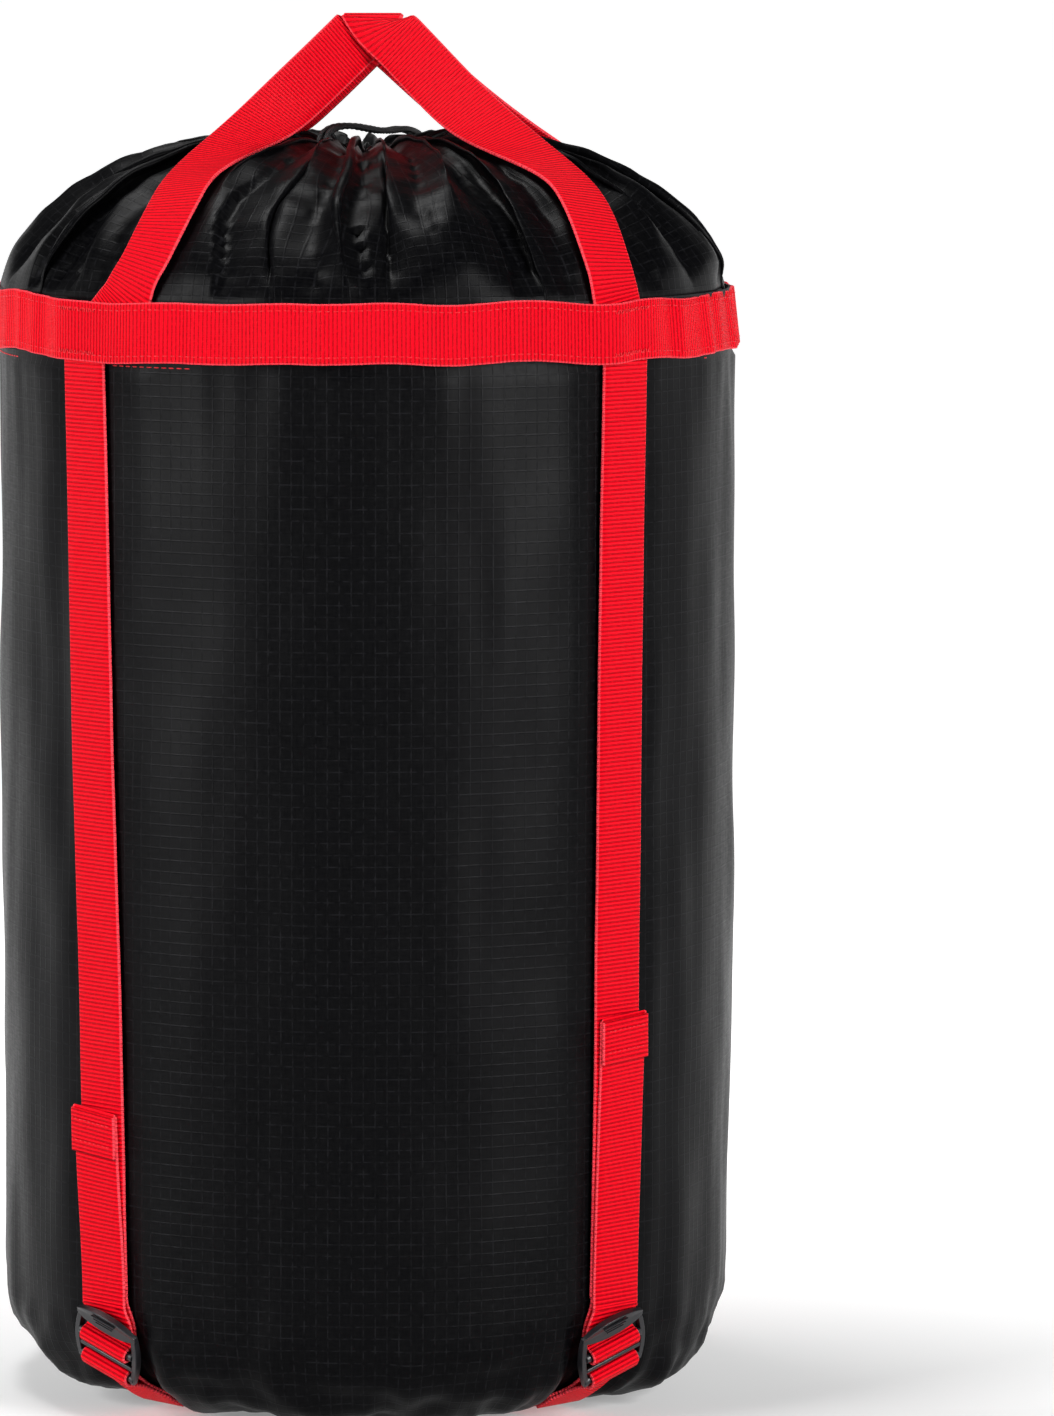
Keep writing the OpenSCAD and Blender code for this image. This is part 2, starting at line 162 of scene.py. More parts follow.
def linear(code):
    """An sRGB hex colour as the linear colour that shaders take."""
    parts = [int(code[i:i + 2], 16) / 255 for i in (1, 3, 5)]
    return tuple(c / 12.92 if c <= 0.04045 else ((c + 0.055) / 1.055) ** 2.4 for c in parts) + (1.0,)


def add_node(tree, kind, settings=None, values=None, links=None):
    """Adds a shader node with its settings, its own socket values and what is linked to it: a
    socket, or a node for the one output that it has in use."""
    node = tree.nodes.new("ShaderNode" + kind)
    for name, value in (settings or {}).items():
        setattr(node, name, value)
    for key, value in (values or {}).items():
        node.inputs[key].default_value = value
    for key, source in (links or {}).items():
        if isinstance(source, bpy.types.Node):
            source = next(socket for socket in source.outputs if socket.enabled)
        tree.links.new(source, node.inputs[key])
    return node


def start_material(name, **shader_values):
    """A material with its shader, whose constants sit on the shader's own sockets."""
    material = bpy.data.materials.new(name)
    material.use_nodes = True
    tree = material.node_tree
    shader = tree.nodes["Principled BSDF"]
    for key, value in shader_values.items():
        shader.inputs[key.replace("_", " ")].default_value = value
    return material, tree, shader


def end_material(tree, shader, colour, height=None, strength=0.0, depth=0.0):
    """Gives the shader its colour, and its bump where there is one: depth is in metres."""
    tree.links.new(colour.outputs[2], shader.inputs["Base Color"])
    if height:
        bump = add_node(tree, "Bump", values={"Strength": strength, "Distance": depth},
                        links={"Height": height})
        tree.links.new(bump.outputs[0], shader.inputs["Normal"])


def cloth_axes(tree):
    """The piece's own cloth map in millimetres: along the weave, and across it."""
    uv = add_node(tree, "UVMap", {"uv_map": "cloth"})
    return add_node(tree, "SeparateXYZ", links={0: uv}), uv


def object_place(tree):
    return add_node(tree, "TexCoord").outputs["Object"]


def thread_line(tree, along, pitch, half_width):
    """1 on a line every pitch millimetres, 0 between, with soft edges."""
    wave = add_node(tree, "Math", {"operation": "PINGPONG"}, {1: pitch / 2}, {0: along})
    return add_node(tree, "MapRange", {"interpolation_type": "SMOOTHSTEP"},
                    {"From Min": half_width * 1.4, "From Max": half_width * 0.3}, {"Value": wave})


def stretched_noise(tree, uv, scale, detail):
    """Noise on the cloth map, drawn out along one direction or both."""
    place = add_node(tree, "Mapping", values={"Scale": scale}, links={0: uv})
    return add_node(tree, "TexNoise", values={"Scale": 1.0, "Detail": detail}, links={0: place})


def coated_ripstop_nylon():
    """Black 210 denier nylon, polyurethane coated: near black, with a soft satin sheen, and a
    thicker rip-stop thread every 5 mm both ways that catches the light in short dashes."""
    material, tree, shader = start_material(
        "coated_ripstop_nylon", Roughness=0.36, IOR=1.5, Specular_IOR_Level=0.055)
    axes, uv = cloth_axes(tree)
    thread_pitch, thread_half = 5.0, 0.3
    lines_u = thread_line(tree, axes.outputs[0], thread_pitch, thread_half)
    lines_v = thread_line(tree, axes.outputs[1], thread_pitch, thread_half)
    # each thick thread shows in dashes, where it passes over the fine ones
    dash = stretched_noise(tree, uv, (0.3, 0.3, 1), 3.0)
    shown = add_node(tree, "MapRange", values={"From Min": 0.42, "From Max": 0.62},
                     links={"Value": dash})
    grid = add_node(tree, "Math", {"operation": "MAXIMUM"}, links={0: lines_u, 1: lines_v})
    seen = add_node(tree, "Math", {"operation": "MULTIPLY"}, links={0: grid, 1: shown})
    # the plain weave between is 0.3 mm; it is drawn at about 1 mm so that it shows
    warp = stretched_noise(tree, uv, (1.1, 0.16, 1), 2.0)
    weft = stretched_noise(tree, uv, (0.16, 1.1, 1), 2.0)
    weave = add_node(tree, "Math", {"operation": "ADD"}, links={0: warp, 1: weft})
    weave_range = {"From Min": 0.6, "From Max": 1.4}
    shade = add_node(tree, "MapRange", values=weave_range, links={"Value": weave})
    cloth = add_node(tree, "Mix", {"data_type": "RGBA"},
                     {6: linear("#010102"), 7: linear("#060607")}, {0: shade})
    colour = add_node(tree, "Mix", {"data_type": "RGBA"}, {7: linear("#111113")},
                      {0: seen, 6: cloth})
    satin = add_node(tree, "MapRange", values={**weave_range, "To Min": 0.32, "To Max": 0.46},
                     links={"Value": weave})
    tree.links.new(satin.outputs[0], shader.inputs["Roughness"])
    height = add_node(tree, "Math", {"operation": "MULTIPLY_ADD"}, {1: 0.25}, {0: weave, 2: grid})
    end_material(tree, shader, colour, height, 0.4, 0.1 * MM)
    return material


def woven_nylon_webbing():
    """Dyed red nylon webbing, 25 mm: matt, with a rib every 1.8 mm straight across, fine warp
    threads along it, and paler patches along the two selvages. The colour is darker in the
    grooves between the ribs and lighter on their tops: painted shade and painted highlight.
    Real ribs are nearer 1.2 mm; they are drawn wider so that they show."""
    material, tree, shader = start_material(
        "woven_nylon_webbing", Roughness=0.5, IOR=1.53, Specular_IOR_Level=0.06,
        Sheen_Weight=0.015, Sheen_Roughness=0.35, Sheen_Tint=linear("#ff4058"))
    axes, uv = cloth_axes(tree)
    rib_pitch, warp_pitch = 1.8, 0.7
    rib = add_node(tree, "Math", {"operation": "PINGPONG"}, {1: rib_pitch / 2}, {0: axes.outputs[0]})
    rib_high = add_node(tree, "MapRange", {"interpolation_type": "SMOOTHSTEP"},
                        {"From Min": 0.05, "From Max": 0.7}, {"Value": rib})
    warp = add_node(tree, "Math", {"operation": "PINGPONG"}, {1: warp_pitch / 2}, {0: axes.outputs[1]})
    warp_high = add_node(tree, "MapRange", values={"From Min": 0.0, "From Max": 0.3},
                         links={"Value": warp})
    fibre = add_node(tree, "TexNoise", values={"Scale": 0.9, "Detail": 4.0}, links={0: uv})
    # painted shade and painted highlight: the colour is darker in the grooves between the ribs and lighter
    # on the rib tops
    groove_shaded = add_node(tree, "Mix", {"data_type": "RGBA"},
                       {6: linear("#98000c"), 7: linear("#e40018")}, {0: rib_high})
    uneven = add_node(tree, "MapRange",
                      values={"From Min": 0.35, "From Max": 0.7, "To Min": 0.0, "To Max": 0.3},
                      links={"Value": fibre})
    # random dye tone, laid over the painted groove shade
    dye_and_groove_shade = add_node(tree, "Mix", {"data_type": "RGBA"}, {7: linear("#ff0c26")},
                    {0: uneven, 6: groove_shaded})
    off_middle = add_node(tree, "Math", {"operation": "ABSOLUTE"}, links={0: axes.outputs[1]})
    half_width = WEB_W / MM / 2
    selvage = add_node(tree, "MapRange", {"interpolation_type": "SMOOTHSTEP"},
                       {"From Min": half_width - 0.9, "From Max": half_width - 0.2},
                       {"Value": off_middle})
    # the colour turns paler in patches along the two selvages
    pale_selvage = add_node(tree, "Math", {"operation": "MULTIPLY"}, links={0: selvage, 1: fibre})
    colour = add_node(tree, "Mix", {"data_type": "RGBA"}, {7: linear("#ff5a66")}, {0: pale_selvage, 6: dye_and_groove_shade})
    height = add_node(tree, "Math", {"operation": "MULTIPLY_ADD"}, {1: 0.3},
                      {0: warp_high, 2: rib_high})
    end_material(tree, shader, colour, height, 1.0, 0.6 * MM)
    return material


def braided_polyester_cord():
    """Black 3 mm braid: matt, with the crossing strands of its cover as short slanted stitches.
    Their colour is lighter on the crests and darker in the grooves: painted highlight and painted shade.
    """
    material, tree, shader = start_material(
        "braided_polyester_cord", Roughness=0.6, IOR=1.5, Specular_IOR_Level=0.35)
    axes, _ = cloth_axes(tree)
    slanted = add_node(tree, "Math", {"operation": "MULTIPLY_ADD"}, {1: 0.8},
                       {0: axes.outputs[1], 2: axes.outputs[0]})
    strand = add_node(tree, "Math", {"operation": "PINGPONG"}, {1: 0.5}, {0: slanted})
    high = add_node(tree, "MapRange", values={"From Min": 0.0, "From Max": 0.4},
                    links={"Value": strand})
    # painted highlight and painted shade: lighter on the strand crests, darker in the grooves between them
    colour = add_node(tree, "Mix", {"data_type": "RGBA"},
                      {6: linear("#050506"), 7: linear("#1b1b1d")}, {0: high})
    end_material(tree, shader, colour, high, 0.8, 0.2 * MM)
    return material


def moulded_acetal():
    """Black injection-moulded acetal: satin, with the fine grain of a spark-eroded mould and
    slightly shinier rubbed places."""
    material, tree, shader = start_material(
        "moulded_acetal", Roughness=0.36, IOR=1.48, Specular_IOR_Level=0.5)
    place = object_place(tree)
    # mould grain is about 0.1 mm; it is drawn at 0.4 mm so that it shows
    grain = add_node(tree, "TexNoise", values={"Scale": 1 / (0.4 * MM), "Detail": 2.0}, links={0: place})
    rubbed = add_node(tree, "TexNoise", values={"Scale": 140.0, "Detail": 3.0}, links={0: place})
    colour = add_node(tree, "Mix", {"data_type": "RGBA"},
                      {6: linear("#0c0c0e"), 7: linear("#1d1d21")}, {0: rubbed})
    gloss = add_node(tree, "MapRange",
                     values={"From Min": 0.35, "From Max": 0.65, "To Min": 0.28, "To Max": 0.44},
                     links={"Value": rubbed})
    tree.links.new(gloss.outputs[0], shader.inputs["Roughness"])
    end_material(tree, shader, colour, grain, 0.25, 0.05 * MM)
    return material


def bonded_nylon_thread():
    """Red bonded sewing thread: a slight gloss, with the twist of its three plies."""
    material, tree, shader = start_material(
        "red_bonded_thread", Roughness=0.45, IOR=1.53, Specular_IOR_Level=0.3)
    ply = add_node(tree, "TexNoise", values={"Scale": 1800.0, "Detail": 1.0},
                   links={0: object_place(tree)})
    colour = add_node(tree, "Mix", {"data_type": "RGBA"},
                      {6: linear("#a00010"), 7: linear("#e01020")}, {0: ply})
    end_material(tree, shader, colour, ply, 0.4, 0.08 * MM)
    return material


def drawn_spring_steel():
    """Drawn steel wire: bright, with faint draw marks."""
    material, tree, shader = start_material("drawn_spring_steel", Metallic=1.0, Roughness=0.28)
    marks = add_node(tree, "TexNoise", values={"Scale": 900.0, "Detail": 2.0},
                     links={0: object_place(tree)})
    colour = add_node(tree, "Mix", {"data_type": "RGBA"},
                      {6: linear("#9c9ca0"), 7: linear("#c9c9cc")}, {0: marks})
    end_material(tree, shader, colour)
    return material


def woven_binding_tape():
    """Thin black nylon tape over the inner seams: matt, with ribs across it."""
    material, tree, shader = start_material(
        "woven_binding_tape", Roughness=0.7, IOR=1.53, Specular_IOR_Level=0.2)
    ribs = add_node(tree, "TexWave", {"bands_direction": "Z"}, {"Scale": 200.0},
                    {0: object_place(tree)})
    colour = add_node(tree, "Mix", {"data_type": "RGBA"},
                      {6: linear("#060607"), 7: linear("#141416")}, {0: ribs})
    end_material(tree, shader, colour)
    return material


def pale_floor():
    """Matt white studio floor, lit behind the object and far in front, but not around it."""
    material, tree, shader = start_material(
        "pale_floor", Roughness=0.9, Specular_IOR_Level=0.0, Base_Color=linear("#d6d6d6"),
        Emission_Color=linear("#ffffff"))
    depth = add_node(tree, "SeparateXYZ", links={0: object_place(tree)}).outputs[1]
    lit = 0.92
    behind, far_front = (
        add_node(tree, "MapRange", {"interpolation_type": "SMOOTHSTEP"},
                 {"From Min": dark_y, "From Max": lit_y, "To Min": least, "To Max": lit},
                 {"Value": depth})
        for dark_y, lit_y, least in ((-0.5, 0.9, 0.05), (-2.0, -6.0, 0.0)))
    both = add_node(tree, "Math", {"operation": "MAXIMUM"}, links={0: behind, 1: far_front})
    tree.links.new(both.outputs[0], shader.inputs["Emission Strength"])
    return material


CLOTH = coated_ripstop_nylon()
WEBBING = woven_nylon_webbing()
CORD = braided_polyester_cord()
PLASTIC = moulded_acetal()
RED_THREAD = bonded_nylon_thread()
STEEL = drawn_spring_steel()
TAPE = woven_binding_tape()


def finish_cad_node(name, material):
    """Gives a CAD node that stays its real finish."""
    for slot in frame["nodes"][name].material_slots:
        slot.material = material


# ---- building helpers ----

def new_object(name, mesh, material):
    piece = add_object(name, mesh)
    mesh.materials.append(material)
    for face in mesh.polygons:
        face.use_smooth = True
    return piece


def surface(name, rows, material, closed=False, caps=False):
    """A surface from rows that go round it, each with its points and its cloth map: pairs in
    millimetres of cloth, one for each point and one more where the row meets its start. A
    surface that is closed along itself too has its first row again as its last."""
    width = len(rows[0][0])
    count = len(rows) - 1 if closed else len(rows)
    faces, maps = [], []
    for i in range(len(rows) - 1):
        low, high = i * width, (i + 1) % count * width
        here, there = rows[i][1], rows[i + 1][1]
        for k in range(width):
            k2 = (k + 1) % width
            faces.append((low + k, low + k2, high + k2, high + k))
            maps += [here[k], here[k + 1], there[k + 1], there[k]]
    if caps:
        for i, turn in ((0, -1), (count - 1, 1)):
            faces.append(tuple(range(i * width, (i + 1) * width))[::turn])
            maps += rows[i][1][:width][::turn]
    mesh = bpy.data.meshes.new(name)
    mesh.from_pydata([point for points, _ in rows[:count] for point in points], [], faces)
    layer = mesh.uv_layers.new(name="cloth")
    layer.data.foreach_set("uv", [value for pair in maps for value in pair])
    mesh.validate()
    mesh.update()
    return new_object(name, mesh, material)


def cloth_skin(name, rows, step, along, thickness=0.45 * MM):
    """Cloth from rows of points, given a wall inwards. Its map goes round by a step for each
    point, and along by each row's own value."""
    mapped = [(row, [(k * step, v) for k in range(len(row) + 1)]) for row, v in zip(rows, along)]
    piece = surface(name, mapped, CLOTH)
    wall = piece.modifiers.new("wall", "SOLIDIFY")
    wall.thickness = thickness
    wall.offset = -1
    apply_modifiers(piece)
    return piece


def select_only(piece):
    bpy.ops.object.select_all(action="DESELECT")
    piece.select_set(True)
    bpy.context.view_layer.objects.active = piece


def apply_modifiers(piece):
    select_only(piece)
    for modifier in list(piece.modifiers):
        bpy.ops.object.modifier_apply(modifier=modifier.name)
    piece.select_set(False)


def shade_by_angle(piece):
    """Smooth shading that leaves the sharp edges sharp."""
    select_only(piece)
    bpy.ops.object.shade_smooth_by_angle(angle=math.radians(38))


SECTION_STEPS = 6
SELVAGE_R = 0.45 * MM


def webbing(name, stations, closed=False, width=WEB_W):
    """A woven strip. Each station is (middle, direction across, direction out of its face)."""
    section = []
    flat = width / 2 - SELVAGE_R
    for side in (1, -1):
        for i in range(SECTION_STEPS + 1):
            section.append((side * (flat - 2 * flat * i / SECTION_STEPS), side * WEB_T / 2))
        section.append((-side * (width / 2), side * (WEB_T / 2 - SELVAGE_R)))
        section.append((-side * (width / 2), -side * (WEB_T / 2 - SELVAGE_R)))
    v = [a / MM for a, _ in section + section[:1]]
    rows, run = [], 0.0
    for i, (middle, across, face) in enumerate(stations):
        if i:
            run += (middle - stations[i - 1][0]).length
        rows.append(([middle + across * a + face * b for a, b in section], [(run / MM, x) for x in v]))
    if closed:
        run += (stations[0][0] - stations[-1][0]).length
        rows.append((rows[0][0], [(run / MM, x) for x in v]))
    piece = surface(name, rows, WEBBING, closed=closed, caps=not closed)
    face_outwards(piece)
    return piece


def face_outwards(piece):
    shell = bmesh.new()
    shell.from_mesh(piece.data)
    bmesh.ops.recalc_face_normals(shell, faces=shell.faces)
    shell.to_mesh(piece.data)
    shell.free()


def path_frames(points, side):
    """Stations along a path whose across direction is constant."""
    stations = []
    for i, point in enumerate(points):
        ahead = points[min(i + 1, len(points) - 1)] - points[max(i - 1, 0)]
        face = side.cross(ahead).normalized()
        stations.append((point, side.normalized(), face))
    return stations


def soften_path(points, per_span=6):
    """A smooth line through the points, Catmull-Rom."""
    out = []
    last = len(points) - 1
    for i in range(last):
        p0, p1, p2, p3 = (points[min(max(k, 0), last)] for k in (i - 1, i, i + 1, i + 2))
        for step in range(per_span):
            t = step / per_span
            out.append(0.5 * (2 * p1 + (p2 - p0) * t + (2 * p0 - 5 * p1 + 4 * p2 - p3) * t ** 2
                              + (3 * p1 - p0 - 3 * p2 + p3) * t ** 3))
    out.append(points[-1])
    return out


# A stitch's outline: share of its length, share of its radius, and lift in radii
STITCH_OUTLINE = ((0.0, 0.35, -0.5), (0.2, 0.95, 0.3), (0.8, 0.95, 0.3), (1.0, 0.35, -0.5))
STITCH_SIDES = 6


def stitch_mesh(name, stitches, radius):
    """Sewn stitches as one piece. Each is (start, end, direction out of the cloth)."""
    points, faces = [], []
    sides = range(STITCH_SIDES)
    for start, end, out in stitches:
        along = end - start
        side = along.normalized().cross(out).normalized()
        first = len(points)
        for t, scale, lift in STITCH_OUTLINE:
            centre = start + along * t + out * radius * lift
            for k in sides:
                a = TAU * k / STITCH_SIDES
                points.append(centre + (side * math.cos(a) + out * math.sin(a)) * radius * scale)
        for ring in range(len(STITCH_OUTLINE) - 1):
            a, b = first + ring * STITCH_SIDES, first + (ring + 1) * STITCH_SIDES
            for k in sides:
                k2 = (k + 1) % STITCH_SIDES
                faces.append((a + k, a + k2, b + k2, b + k))
        faces.append(tuple(first + k for k in sides)[::-1])
        faces.append(tuple(len(points) - STITCH_SIDES + k for k in sides))
    mesh = bpy.data.meshes.new(name)
    mesh.from_pydata(points, [], faces)
    mesh.update()
    piece = new_object(name, mesh, RED_THREAD)
    face_outwards(piece)
    return piece


# ---- cords ----

# The routes of the two cord ends, in millimetres: out of the mouth, over the back of the dome
# and the ring, and down the body
CORD_ROUTES = {
    "left": [
        (-20.5, 9.5, 538), (-20.6, 9.6, 541.5), (-20.4, 10.4, 545), (-18.5, 13.4, 548.4),
        (-14.2, 18, 550.3), (-8.2, 23.4, 550.5), (-2.5, 29, 549.4), (2.6, 36, 548.2),
        (7, 46, 547.9), (10.8, 58, 548.2), (14, 71, 547.4), (17, 85, 545.2), (19.4, 98, 541.2),
        (21.2, 108, 539), (22, 115, 537.2), (22.3, 121.3, 534.4), (22.3, 128.8, 529.4),
        (22.3, 138, 523.2), (22.3, 147, 517.1), (22.3, 154.5, 510.5), (22.3, 160, 502.5),
        (22.3, 163.5, 493), (22.3, 164.8, 482), (22.3, 165, 470), (22.3, 164.8, 455),
        (22.3, 164.2, 435), (22, 163.8, 400), (21.5, 163.5, 360), (21, 163.5, 320),
        (20.5, 163.5, 285), (19, 163.5, 262), (18, 163.5, 250),
    ],
    "right": [
        (-17.5, 6, 538), (-17.6, 6.1, 541.5), (-17.4, 6.9, 545), (-15.6, 9.8, 548.4),
        (-11.4, 14.6, 550.3), (-5.6, 20, 550.5), (0.2, 26, 549.4), (5.6, 33.6, 548.2),
        (10.4, 44.6, 547.9), (14.2, 57, 548.2), (17.4, 70.2, 547.4), (20.4, 84.4, 545.2),
        (22.8, 97.5, 541.2), (24.6, 107.7, 539), (25.4, 114.9, 537.2), (25.7, 121.3, 534.4),
        (25.7, 128.8, 529.4), (25.7, 138, 523.2), (25.7, 147, 517.1), (25.7, 154.5, 510.5),
        (25.7, 160, 502.5), (25.7, 163.5, 493), (25.7, 164.8, 482), (25.7, 165, 470),
        (25.7, 164.8, 455), (25.9, 164.2, 435), (26.8, 163.8, 400), (28, 163.5, 360),
        (29.5, 163.5, 320), (31, 163.5, 285), (32, 163.5, 266),
    ],
}


STRAND_PITCH = 9 * MM


def twisted_cord(name, points, closed=False, sides=12):
    """A cord of three strands twisted together, along a line of close points."""
    rows, run = [], 0.0
    side = Vector((1, 0, 0))
    v = [CORD_D / MM * math.pi * k / sides for k in range(sides + 1)]
    for i, point in enumerate(points):
        if i:
            run += (point - points[i - 1]).length
        nxt = points[(i + 1) % len(points)] if closed else points[min(i + 1, len(points) - 1)]
        ahead = (nxt - points[i - 1 if (i or closed) else 0]).normalized()
        side = (side - ahead * side.dot(ahead)).normalized()
        up = ahead.cross(side)
        ring = []
        for k in range(sides):
            a = TAU * k / sides
            grow = 0.9 + 0.1 * math.cos(3 * (a - TAU * run / STRAND_PITCH))
            ring.append(point + (side * math.cos(a) + up * math.sin(a)) * (CORD_D / 2) * grow)
        rows.append((ring, [(run / MM, x) for x in v]))
    if closed:
        run += (points[0] - points[-1]).length
        rows.append((rows[0][0], [(run / MM, x) for x in v]))
    piece = surface(name, rows, CORD, closed=closed, caps=not closed)
    face_outwards(piece)
    return piece


def cord_knot(name, top):
    """An overhand knot with its melted tail, just below the end of a cord."""
    middle = top - UP * 4.1 * MM
    steps = 90
    loop = []
    for i in range(steps):
        t = TAU * i / steps
        loop.append(middle + Vector((
            (math.sin(t) + 2 * math.sin(2 * t)) * 0.86 * MM,
            (math.cos(t) - 2 * math.cos(2 * t)) * 0.86 * MM,
            -math.sin(3 * t) * 2.1 * MM,
        )))
    knot = twisted_cord(name, loop, closed=True, sides=10)
    tail = [middle + Vector((0.3 * MM * i / 8, 0, -(1.5 + 5.0 * i / 8) * MM)) for i in range(9)]
    return join_pieces([knot, twisted_cord(name + "_tail", tail, sides=10)])


def join_pieces(pieces):
    """Joins pieces into the first of them."""
    select_only(pieces[0])
    for piece in pieces:
        piece.select_set(True)
    bpy.ops.object.join()
    pieces[0].select_set(False)
    return pieces[0]


def make_cords():
    for side, route in CORD_ROUTES.items():
        line = soften_path([Vector(point) * MM for point in route], per_span=10)
        cord = twisted_cord(f"drawcord_{side}_twisted", line)
        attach(cord, "top")
        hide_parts(f"drawcord_{side}")
        knot = cord_knot(f"cord_knot_{side}_tied", line[-1])
        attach(knot, "top")
        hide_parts(f"cord_knot_{side}")
        on_it = [knot]
        if side == "left":
            on_it += [frame["nodes"]["cord_lock_" + part] for part in ("barrel", "plunger", "spring")]
    steps = 120
    turn = [outward(TAU * i / steps) * HEM_R + UP * HEM_Z for i in range(steps)]
    inner = twisted_cord("drawcord_round_the_mouth", turn, closed=True, sides=8)
    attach(inner, "top")
    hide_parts("drawcord_in_channel")


# ---- cloth body ----

def round_noise(theta, scale, level):
    """Noise round the sack, finer as the scale grows, at a level of its own."""
    return noise.noise(Vector((math.cos(theta) * scale, math.sin(theta) * scale, level)))


def strap_press(theta, z):
    """1 under a strap, 0 away from it."""
    reach = 26 * MM
    near = min(angle_gap(theta, strap_angle(corner, z)) for corner in STRAPS) * BODY_R
    return 1 - smooth((near - WEB_W / 2) / (reach - WEB_W / 2))


def cloth_ripple(theta, z):
    """How far the filled cloth stands proud of, or sinks below, its round shape."""
    around_it = Vector((math.cos(theta), math.sin(theta), 0))
    broad = noise.noise(Vector((around_it.x * 1.7, around_it.y * 1.7, z * 4.0 + 3.1))) * 3.0
    small = noise.noise(Vector((around_it.x * 6.0, around_it.y * 6.0, z * 17.0 + 9.0))) * 1.2
    creases = noise.noise(Vector((theta * 14.0, z * 9.0, 5.3)))
    pucker_top = math.exp(-(SHOULDER_Z - z) / (34 * MM))
    pucker_low = math.exp(-max(0.0, z - 6 * MM) / (26 * MM))
    pleats = math.sin(31 * theta + 3.5 * noise.noise(Vector((theta * 2.5, z * 8.0, 0.7))))
    return (broad + small + creases * (0.35 + 1.4 * pucker_top + 2.4 * pucker_low)
            + pleats * (0.55 * pucker_top + 0.9 * pucker_low)) * MM


def skin_wall(theta, z, run):
    """How far the cloth lies from the circle that its rounded base edge turns about. Run is its
    length from the base seam."""
    fade = smooth(run / (30 * MM)) * (1 - 0.75 * smooth((z - RING_Z + 3 * MM) / (9 * MM)))
    press = strap_press(theta, z)
    lift = (0.7 * MM + cloth_ripple(theta, z)) * (1 - press) - 0.2 * MM * press
    wall = EDGE_R + 1.3 * MM * smooth((run - 20 * MM) / (60 * MM)) + lift * fade
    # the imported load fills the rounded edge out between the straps, unevenly
    turn = min(1.0, run / EDGE_ARC)
    uneven = 0.9 * round_noise(theta, 4, turn * 3 + 2) + 0.5 * round_noise(theta, 11, turn * 8)
    wall += 6.0 * MM * math.sin(math.pi * turn) ** 2 * (1 + uneven) * (1 - press)
    if z > RING_Z - 4 * MM:
        wall = min(wall, EDGE_R + 1.1 * MM)
    return wall - ring_lean(theta) * smooth((z - RING_Z) / WEB_W)


def columns_round(count):
    return [TAU * k / count for k in range(count)]


def make_body():
    arc_rows, wall_rows, columns = 22, 112, 300
    rows, lengths = [], []
    for i in range(arc_rows + wall_rows + 1):
        dip = math.pi / 2 * max(0.0, 1 - i / arc_rows)
        rise = (SHOULDER_Z - 0.6 * MM - EDGE_Z) * max(0, i - arc_rows) / wall_rows
        run = EDGE_R * (math.pi / 2 - dip) + rise
        lengths.append(run / MM)
        row = []
        for theta in columns_round(columns):
            wall = skin_wall(theta, EDGE_Z + rise - EDGE_R * math.sin(dip), run)
            row.append(outward(theta) * (EDGE_C + wall * math.cos(dip))
                       + UP * (EDGE_Z + rise - wall * math.sin(dip)))
        rows.append(row)
    body = cloth_skin("body_cloth", rows, TAU * BODY_R / MM / columns, lengths)
    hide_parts("lower_wall", "upper_wall")
    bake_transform(body)


def make_base():
    """The round base panel, slightly puckered at its seam."""
    rings, columns = 26, 160
    inner_r, outer_r = 2 * MM, BASE_SEAM_R + 0.4 * MM
    rows = []
    for i in range(rings, -1, -1):
        radius = inner_r + (outer_r - inner_r) * i / rings
        row = []
        for theta in columns_round(columns):
            pucker = 0.25 * MM * math.sin(31 * theta) * smooth((radius - 80 * MM) / (23 * MM))
            sag = 0.25 * MM * noise.noise(Vector((radius * 30 * math.cos(theta),
                                                  radius * 30 * math.sin(theta), 2.2)))
            row.append(outward(theta) * radius + UP * (BASE_Z + 0.35 * MM + pucker + sag))
        rows.append(row)
    rows.append([outward(theta) * 0.2 * MM + UP * row[0].z for theta in columns_round(columns)])
    panel = cloth_skin("base_panel_cloth", rows, 0.0, [0.0] * len(rows))
    layer = panel.data.uv_layers["cloth"]
    for loop in panel.data.loops:
        point = panel.data.vertices[loop.vertex_index].co
        layer.data[loop.index].uv = (point.x / MM, point.y / MM)
    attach(panel, "root")
    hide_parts("base_panel")


# ---- gathered top ----

# The dome's profile as two curves, each with four (radius, height) points: outside and mouth
TOP_OUTER = [(BODY_R - 0.4 * MM, SHOULDER_Z + 1 * MM), (0.95 * BODY_R, SHOULDER_Z + 30.1 * MM),
             (0.706 * BODY_R, SHOULDER_Z + 60.8 * MM), (60 * MM, SHOULDER_Z + 64 * MM)]
TOP_INNER = [TOP_OUTER[3], (48 * MM, SHOULDER_Z + 64.4 * MM), (38 * MM, SHOULDER_Z + 63 * MM),
             (27.4 * MM, SHOULDER_Z + 58 * MM)]
PLEATS = 30
PUFFS = 17


def bezier(points, t):
    weights = ((1 - t) ** 3, 3 * t * (1 - t) ** 2, 3 * t * t * (1 - t), t ** 3)
    return tuple(sum(w * p[axis] for w, p in zip(weights, points)) for axis in (0, 1))


def uneven_cells(count, seed, spread):
    """Directions that split the circle unevenly."""
    rng = random.Random(seed)
    return [TAU * (i + spread * (rng.random() - 0.5)) / count for i in range(count)]


PLEAT_CELLS = uneven_cells(PLEATS, 11, 0.62)
PUFF_CELLS = uneven_cells(PUFFS, 5, 0.55)


def cell_place(cells, theta):
    """Place of a direction inside its cell, 0 to 1, and the cell's number."""
    theta %= TAU
    for i in range(len(cells)):
        start, end = cells[i], cells[(i + 1) % len(cells)]
        width = (end - start) % TAU
        inside = (theta - start) % TAU
        if inside < width:
            return inside / width, i
    return 0.0, 0


